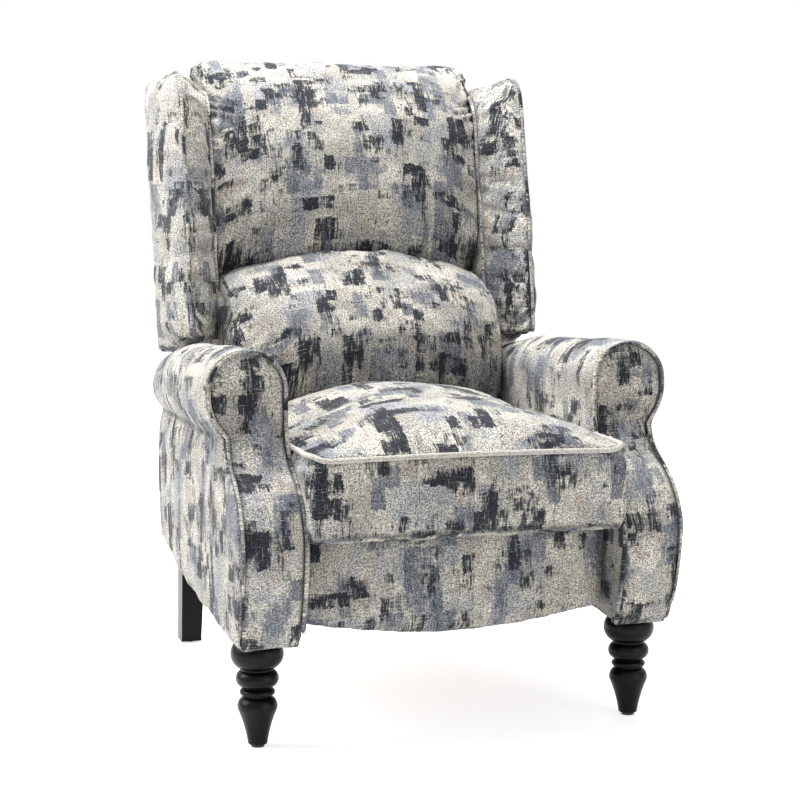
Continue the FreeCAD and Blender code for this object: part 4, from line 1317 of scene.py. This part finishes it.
@dataclass
class Footrest:
    """The padded footrest front with its scalloped lower edge."""

    cloth: Material
    corner: float = 0.188

    def make(self) -> None:
        """Make the pad."""
        low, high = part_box("footrest_pad")
        half, near, far = high[0], low[1], high[1]
        top, middle = high[2], low[2]
        radius = (half ** 2 + (self.corner - middle) ** 2) / (2 * (self.corner - middle))

        def hem(x: float) -> float:
            """Height of the lower edge, a scallop that wanders a little."""
            scallop = middle + radius - math.sqrt(radius ** 2 - x ** 2)
            return scallop + 0.0006 * math.sin(x * 71) * math.cos(x * 33)

        rings = []
        for x in np.linspace(-half, half, 61):
            heights = np.linspace(hem(x), top, 12)
            rings.append([Vector((x, near + 0.004, z)) for z in heights]
                         + [Vector((x, far, z)) for z in heights[::-1]])
        obj = loft("footrest_cloth", rings)
        edge = [Vector((x, far, hem(x))) for x in np.linspace(-half, half, 61)]
        edge = [Vector((-half, far, top))] + edge + [Vector((half, far, top))]
        Stuffing(voxel=0.0055, most=0.008, held=0.008, smoothing=4).fill(obj, [edge])
        swell(obj, self.ripples)
        keep_within(obj, 1, near - 0.005, far)
        hand_over(obj, Piece("footrest", "footrest_pad", 0.8, 8), self.cloth, upright_layout)

    def ripples(self, points: np.ndarray, normals: np.ndarray) -> np.ndarray:
        """Shallow ripples in the pad's front."""
        return 0.0014 * (normals[:, 1] < -0.5) * folds(points[:, ::2], 0.060, 0.20, 0.2, 6.0)


# Back


@dataclass
class Pillow:
    """A stuffed back pillow, given by level sections.

    Attributes:
        name: name of the piece it stands for.
        cloth: the printed cloth.
        rows: height, half width, and the y of its side edge, front and rear.
        bluntness: how square the crown is across.
        stuffing: how it is stuffed.
        half_limit: how far it may reach sideways.
        seed: which stretch of the cloth it was cut from.
        pleats: height of its folds, from places and normals.
    """

    name: str
    cloth: Material
    rows: Rows
    stuffing: Stuffing
    half_limit: float
    seed: int
    pleats: ByPlace
    bluntness: float = 2.6

    def ring(self, z: float, half: float, side_y: float, front_y: float, rear_y: float) -> Ring:
        """Level section: flat behind, drawn-in sides and a crowned front."""
        front_y = min(front_y, side_y - 0.001)
        ring = [Vector((x, rear_y, z)) for x in np.linspace(-half + 0.003, half - 0.003, 14)]
        ring += [Vector((half - 0.003 * math.sin(math.pi * t), rear_y + (side_y - rear_y) * t, z))
                 for t in (0.15, 0.4, 0.65, 0.9)]
        for x in np.linspace(half, -half, 34):
            ring.append(Vector((x, side_y + (front_y - side_y) * (1 - abs(x / half) ** self.bluntness), z)))
        ring += [Vector((-half + 0.003 * math.sin(math.pi * t), rear_y + (side_y - rear_y) * t, z))
                 for t in (0.9, 0.65, 0.4, 0.15)]
        return ring

    def seams(self) -> list[Ring]:
        """The side seams, along the front edge of each side."""
        return [[Vector((sign * row[1], row[2], row[0])) for row in self.rows] for sign in (-1, 1)]

    def make(self) -> None:
        """Make the pillow."""
        rings = [self.ring(*row) for row in smooth_rows(self.rows, 60)]
        obj = loft(f"{self.name}_cloth", rings)
        seams = self.seams()
        self.stuffing.fill(obj, seams)
        swell(obj, self.pleats)
        keep_within(obj, 0, -self.half_limit, self.half_limit)
        hand_over(obj, Piece("back", self.name, 0.85, self.seed), self.cloth, front_layout, seams, 0.004)


@dataclass
class Wing:
    """A padded wing beside the head, with welts on both edges of its front band."""

    side: Side
    cloth: Material
    plane: BackPlane
    rear: float = 0.0277
    inner_x: float = 0.247
    outer_x: float = 0.311
    rear_x: float = 0.335
    foot: float = 0.549
    inner_front: Rows = ((0.196, 0.575), (0.226, 0.770), (0.262, 0.950), (0.330, 1.010))
    outer_front: Rows = ((0.120, 0.579), (0.147, 0.780), (0.188, 0.982), (0.258, 1.036))

    def outline(self, x: float, front: Sequence[tuple[float, float]], peak: float, inset: float) -> Ring:
        """Side outline of the wing at one x, as a ring of points."""
        points = [Vector((x, y + inset, z + (inset if i == 0 else -inset if i == 3 else 0)))
                  for i, (y, z) in enumerate(front)]
        edge = [points[0].lerp(points[1], t) for t in (0, 0.06, 0.25, 0.5, 0.75)] + [points[1]]
        edge += [points[1].lerp(points[2], 0.5), points[2]]
        shoulder = points[2].lerp(points[3], 0.5) + Vector((0, -0.014, 0.014))
        edge += arc_points(points[2], shoulder, points[3], 6)[1:]
        top = Vector((x, self.plane.at(peak - 0.016, self.rear) - inset, peak - 0.016 - inset / 2))
        low = Vector((x, self.plane.at(self.foot, self.rear) - inset, self.foot + inset))
        heel = Vector((x, low.y * 0.35 + points[0].y * 0.65, low.z * 0.08 + points[0].z * 0.92))
        edge += [points[3].lerp(top, 0.6) + Vector((0, 0, 0.004)), top]
        edge += [top.lerp(low, 0.33), top.lerp(low, 0.67), low]
        edge += [low.lerp(heel, 0.5), heel, heel.lerp(points[0], 0.6)]
        return [Vector((p.x * self.side.value, p.y, p.z)) for p in edge]

    def edge_line(self, x: float, front: Sequence[tuple[float, float]], peak: float) -> Ring:
        """The welt line up one front edge of the wing and back over its top."""
        return rounded(self.outline(x, front, peak, 0.0)[:14], 2)

    def make(self) -> None:
        """Make the wing and its welts."""
        mid_front = tuple((a[0] * 0.45 + b[0] * 0.55 - 0.004, a[1] * 0.45 + b[1] * 0.55 + 0.002)
                          for a, b in zip(self.inner_front, self.outer_front))
        rear_front = tuple((self.plane.at(z, self.rear) - 0.026, z) for z in (0.560, 0.780, 0.978, 1.016))
        side_front = tuple((a[0] * 0.5 + b[0] * 0.5 - 0.006, a[1] * 0.5 + b[1] * 0.5)
                           for a, b in zip(self.outer_front, rear_front))
        sections = [
            self.outline(self.inner_x, self.inner_front, 1.020, 0.0),
            self.outline((self.inner_x + self.outer_x) / 2, mid_front, 1.030, 0.0),
            self.outline(self.outer_x - 0.004, self.outer_front, 1.038, 0.0),
            self.outline(self.outer_x + 0.002, self.outer_front, 1.038, 0.005),
            self.outline((self.outer_x + self.rear_x) / 2 + 0.005, side_front, 1.034, 0.004),
            self.outline(self.rear_x, rear_front, 1.026, 0.0),
        ]
        name = self.side.word
        obj = loft(f"wing_{name}_cloth", sections)
        seams = [self.edge_line(self.inner_x, self.inner_front, 1.020),
                 self.edge_line(self.outer_x - 0.002, self.outer_front, 1.038)]
        Stuffing(voxel=0.0055, most=0.010, held=0.006, smoothing=3, slack=0.03).fill(obj, seams)
        swell(obj, self.puckers)
        keep_within(obj, 1, -1.0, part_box(f"wing_pad_{name}")[1][1])
        piece = Piece("back", f"wing_pad_{name}", 0.8, 14 + self.side.value)
        hand_over(obj, piece, self.cloth, upright_layout, seams)
        for word, seam in zip(("inner", "outer"), seams):
            Welt(radius=0.003).sew(f"wing_{word}_welt_{name}", seam, Piece("back", seed=25), self.cloth, obj)

    def puckers(self, points: np.ndarray, normals: np.ndarray) -> np.ndarray:
        """Fullness and level puckers in the wing's side, and small pulls in its front band."""
        beside = ease(normals[:, 0] * self.side.value, 0.3, 0.8)
        level = folds(points[:, [2, 1]], 0.040, 0.140, 0.25, 22.0)
        upright = folds(points[:, [1, 2]], 0.050, 0.260, 0.1, 24.0)
        band = (1 - beside) * 0.0012 * level * (normals[:, 2] > -0.5)
        return beside * (0.0020 * level + 0.0016 * upright) + band


@dataclass
class OutsideBack:
    """The flat cloth panel behind the back, narrow between the arms."""

    cloth: Material
    plane: BackPlane
    thick: float = 0.007
    face: float = 0.028
    levels: Rows = (
        (-0.040, 0.218), (0.020, 0.218), (0.032, 0.236), (0.228, 0.236), (0.236, 0.333), (0.681, 0.333),
        (0.690, 0.3315), (0.699, 0.3275), (0.706, 0.321), (0.711, 0.314), (0.715, 0.299),
    )

    def spot(self, x: float, up: float, through: float) -> Vector:
        """A point of the back by its place across, up and through it."""
        cos, sin = math.cos(self.plane.lean), math.sin(self.plane.lean)
        return Vector((x, self.plane.pivot_y + up * sin + through * cos,
                       self.plane.pivot_z + up * cos - through * sin))

    def make(self) -> None:
        """Make the panel, a little fuller in its middle."""
        ups = [level[0] for level in self.levels]
        rows = sorted(set(ups) | set(np.linspace(ups[0], ups[-1], 40)))
        rings = []
        for up in rows:
            half = float(np.interp(up, ups, [level[1] for level in self.levels]))
            across = np.linspace(-half, half, 41)
            rings.append([self.spot(x, up, self.face) for x in across]
                         + [self.spot(x, up, self.face + self.thick) for x in across[::-1]])
        obj = loft("outside_back_cloth", rings)
        even_skin(obj, 0.0045, 2)
        middle = (ups[0] + ups[-1]) / 2

        def fuller(points: np.ndarray, normals: np.ndarray) -> np.ndarray:
            """A gentle fullness on the rear face."""
            across = np.clip(1 - (points[:, 0] / 0.33) ** 2, 0, 1)
            up = (points[:, 2] - self.plane.pivot_z) / math.cos(self.plane.lean)
            along = np.clip(1 - ((up - middle) / (ups[-1] - middle)) ** 2, 0, 1)
            return np.where(normals[:, 1] > 0.3, 0.005 * across * along, 0.0)

        swell(obj, fuller)
        hand_over(obj, Piece("back", "back_panel", 0.3, 17), self.cloth, upright_layout)


def back_pillows(cloth: Material, plane: BackPlane) -> list[Pillow]:
    """The lumbar pillow and the upper pillow.

    Args:
        cloth: the printed cloth.
        plane: the back's plane, which the pillows rest on.

    Returns:
        Both pillows, not made yet.
    """

    def rest(z: float) -> float:
        """The y of the pillows' rear face."""
        return plane.at(z, -0.008)

    lumbar = (
        (0.456, 0.232, 0.128, 0.112, rest(0.456)),
        (0.466, 0.240, 0.112, 0.091, rest(0.466)),
        (0.482, 0.243, 0.104, 0.073, rest(0.482)),
        (0.510, 0.243, 0.101, 0.055, rest(0.510)),
        (0.571, 0.243, 0.108, 0.051, rest(0.571)),
        (0.600, 0.243, 0.120, 0.059, 0.262),
        (0.642, 0.243, 0.146, 0.083, 0.262),
        (0.668, 0.243, 0.190, 0.103, 0.256),
        (0.684, 0.234, 0.222, 0.117, 0.250),
        (0.700, 0.190, 0.214, 0.132, 0.240),
        (0.713, 0.140, 0.205, 0.152, 0.228),
        (0.730, 0.060, 0.192, 0.185, 0.208),
    )
    upper = (
        (0.592, 0.240, 0.266, 0.265, rest(0.592)),
        (0.642, 0.246, 0.266, 0.265, rest(0.642)),
        (0.672, 0.246, 0.262, 0.260, rest(0.672)),
        (0.700, 0.246, 0.248, 0.246, rest(0.700)),
        (0.718, 0.246, 0.238, 0.231, rest(0.718)),
        (0.740, 0.246, 0.233, 0.213, rest(0.740)),
        (0.800, 0.246, 0.238, 0.197, rest(0.800)),
        (0.880, 0.246, 0.250, 0.205, rest(0.880)),
        (0.950, 0.246, 0.266, 0.227, rest(0.950)),
        (0.995, 0.246, 0.292, 0.257, rest(0.995)),
        (1.007, 0.247, 0.299, 0.267, 0.399),
        (1.024, 0.249, 0.312, 0.284, 0.403),
        (1.039, 0.255, 0.328, 0.302, 0.404),
        (1.053, 0.252, 0.345, 0.323, 0.398),
        (1.063, 0.239, 0.360, 0.347, 0.388),
        (1.0675, 0.212, 0.369, 0.365, 0.378),
    )

    def gathers(points: np.ndarray, normals: np.ndarray) -> np.ndarray:
        """Small pleats that fan out from the upper side seams, and slow folds in the face."""
        inside = 0.246 - np.abs(points[:, 0])
        fan = np.exp(-(inside / 0.034) ** 2) * np.exp(-((points[:, 2] - 0.970) / 0.060) ** 2)
        phase = points[:, 2] * 300 + inside * 110 + 2 * np.sin(points[:, 2] * 90)
        slow = folds(points[:, ::2], 0.100, 0.090, 0.5, 12.0)
        hem = np.exp(-((points[:, 2] - 0.745) / 0.030) ** 2)
        pulls = folds(points[:, ::2], 0.045, 0.120, 0.05, 14.0)
        return (0.0034 * np.sin(phase) * fan + 0.0020 * slow + 0.0022 * hem * pulls) * (normals[:, 1] < 0.2)

    def tucks(points: np.ndarray, normals: np.ndarray) -> np.ndarray:
        """Short pulls below the arched top edge, and slow folds in the face."""
        arch = 0.732 - 0.060 * (np.abs(points[:, 0]) / 0.243) ** 2.4
        under = np.exp(-((points[:, 2] - arch + 0.020) / 0.026) ** 2)
        pulls = folds(points[:, ::2], 0.038, 0.110, 0.0, 16.0)
        slow = folds(points[:, ::2], 0.110, 0.080, 0.4, 18.0)
        ends = np.exp(-((0.243 - np.abs(points[:, 0])) / 0.040) ** 2)
        level = folds(points[:, [2, 0]], 0.030, 0.120, 0.2, 20.0)
        return (0.0022 * under * pulls + 0.0020 * slow + 0.0016 * ends * level) * (normals[:, 1] < 0.2)

    stuffing = Stuffing(most=0.022, held=0.006, smoothing=4, slack=0.03, pressure=5)
    return [
        Pillow("lumbar_pillow", cloth, lumbar, stuffing, 0.2485, 6, tucks),
        Pillow("upper_pillow", cloth, upper, stuffing, 0.2575, 7, gathers),
    ]


# Frame, mechanism and legs


def finish_frame(finishes: Finishes) -> None:
    """Give every piece of the frame that still shows its own finish."""
    slots = {entry["node"]: entry["material_slot"] for entry in frame["record"]["subparts"]}
    for node, obj in frame["nodes"].items():
        material = finishes.for_slot(slots[node], node)
        if not obj.material_slots:
            obj.data.materials.append(material)
        for slot in obj.material_slots:
            slot.link = "OBJECT"
            slot.material = material


# Studio


@dataclass
class Studio:
    """Pale floor, soft lamps and the camera."""

    camera_at: tuple[float, float, float] = (-0.932, -3.014, 0.800)
    camera_turn: tuple[float, float, float] = (84.24, 0.0, -17.53)
    lens: float = 85.05
    ambient: float = 0.40

    def make(self) -> None:
        """Set up the whole studio."""
        self.make_floor()
        self.make_world()
        self.lamp("key", (-3.0, 0.7, 2.1), 1.8, 84)
        self.lamp("top", (-0.5, 0.1, 3.3), 1.6, 146)
        self.lamp("fill", (1.8, -2.9, 1.2), 2.2, 26)
        self.lamp("rim", (1.4, 2.6, 2.2), 2.0, 34)
        camera = bpy.data.objects.new("camera", bpy.data.cameras.new("camera"))
        camera.location = self.camera_at
        camera.rotation_euler = [math.radians(angle) for angle in self.camera_turn]
        camera.data.lens = self.lens
        camera.data.sensor_width = 36
        bpy.context.scene.collection.objects.link(camera)
        bpy.context.scene.camera = camera
        bpy.context.scene.view_settings.view_transform = "Standard"

    def lamp(self, name: str, at: tuple[float, float, float], width: float, power: float) -> None:
        """A square soft lamp that faces the chair."""
        data = bpy.data.lights.new(name, "AREA")
        data.shape = "SQUARE"
        data.size = width
        data.energy = power
        obj = bpy.data.objects.new(name, data)
        obj.location = at
        obj.rotation_euler = (Vector((0, 0, 0.5)) - Vector(at)).to_track_quat("-Z", "Y").to_euler()
        bpy.context.scene.collection.objects.link(obj)

    def make_floor(self) -> None:
        """A wide pale floor that keeps a faint shadow."""
        mesh = bpy.data.meshes.new("floor")
        reach = 9.0
        mesh.from_pydata([(-reach, -reach, 0), (reach, -reach, 0), (reach, reach, 0), (-reach, reach, 0)], [],
                         [(0, 1, 2, 3)])
        floor = bpy.data.objects.new("floor", mesh)
        bpy.context.scene.collection.objects.link(floor)
        material = bpy.data.materials.new("floor")
        material.use_nodes = True
        nodes, links = material.node_tree.nodes, material.node_tree.links
        nodes.clear()
        diffuse = nodes.new("ShaderNodeBsdfDiffuse")
        diffuse.inputs["Color"].default_value = (0.86, 0.86, 0.86, 1)
        glow = nodes.new("ShaderNodeEmission")
        both = nodes.new("ShaderNodeAddShader")
        links.new(self.seen(nodes, links, 0.66), glow.inputs["Strength"])
        links.new(diffuse.outputs[0], both.inputs[0])
        links.new(glow.outputs[0], both.inputs[1])
        links.new(both.outputs[0], nodes.new("ShaderNodeOutputMaterial").inputs[0])
        mesh.materials.append(material)

    def seen(self, nodes: bpy.types.Nodes, links: bpy.types.NodeLinks, share: float) -> Socket:
        """A share for rays that come from the camera, gloss or glass, and 0 for the rest."""
        path = nodes.new("ShaderNodeLightPath")
        total = path.outputs["Is Camera Ray"]
        for name in ("Is Glossy Ray", "Is Transmission Ray"):
            add = nodes.new("ShaderNodeMath")
            add.operation = "MAXIMUM"
            links.new(total, add.inputs[0])
            links.new(path.outputs[name], add.inputs[1])
            total = add.outputs[0]
        scale = nodes.new("ShaderNodeMath")
        scale.operation = "MULTIPLY"
        links.new(total, scale.inputs[0])
        scale.inputs[1].default_value = share
        return scale.outputs[0]

    def make_world(self) -> None:
        """A white backdrop for the camera over a plain ambient light."""
        world = bpy.data.worlds.new("studio")
        world.use_nodes = True
        bpy.context.scene.world = world
        nodes, links = world.node_tree.nodes, world.node_tree.links
        nodes.clear()
        light = nodes.new("ShaderNodeBackground")
        light.inputs["Color"].default_value = (1, 1, 1, 1)
        light.inputs["Strength"].default_value = self.ambient
        white = nodes.new("ShaderNodeBackground")
        white.inputs["Color"].default_value = (1, 1, 1, 1)
        blend = nodes.new("ShaderNodeMixShader")
        links.new(self.seen(nodes, links, 1.0), blend.inputs[0])
        links.new(light.outputs[0], blend.inputs[1])
        links.new(white.outputs[0], blend.inputs[2])
        links.new(blend.outputs[0], nodes.new("ShaderNodeOutputWorld").inputs[0])


def main() -> None:
    """Build the chair, piece by piece, and the studio round it."""
    logging.basicConfig(level=logging.INFO, format="%(name)s: %(message)s")
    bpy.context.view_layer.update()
    finishes = Finishes()
    plane = back_plane()
    for side in Side:
        RolledArm(side, finishes.cloth).make()
        Wing(side, finishes.cloth, plane).make()
    SeatCushion(finishes.cloth, finishes.piping).make()
    Footrest(finishes.cloth).make()
    for pillow in back_pillows(finishes.cloth, plane):
        pillow.make()
    OutsideBack(finishes.cloth, plane).make()
    finish_frame(finishes)
    Studio().make()


if __name__ == "__main__":
    main()
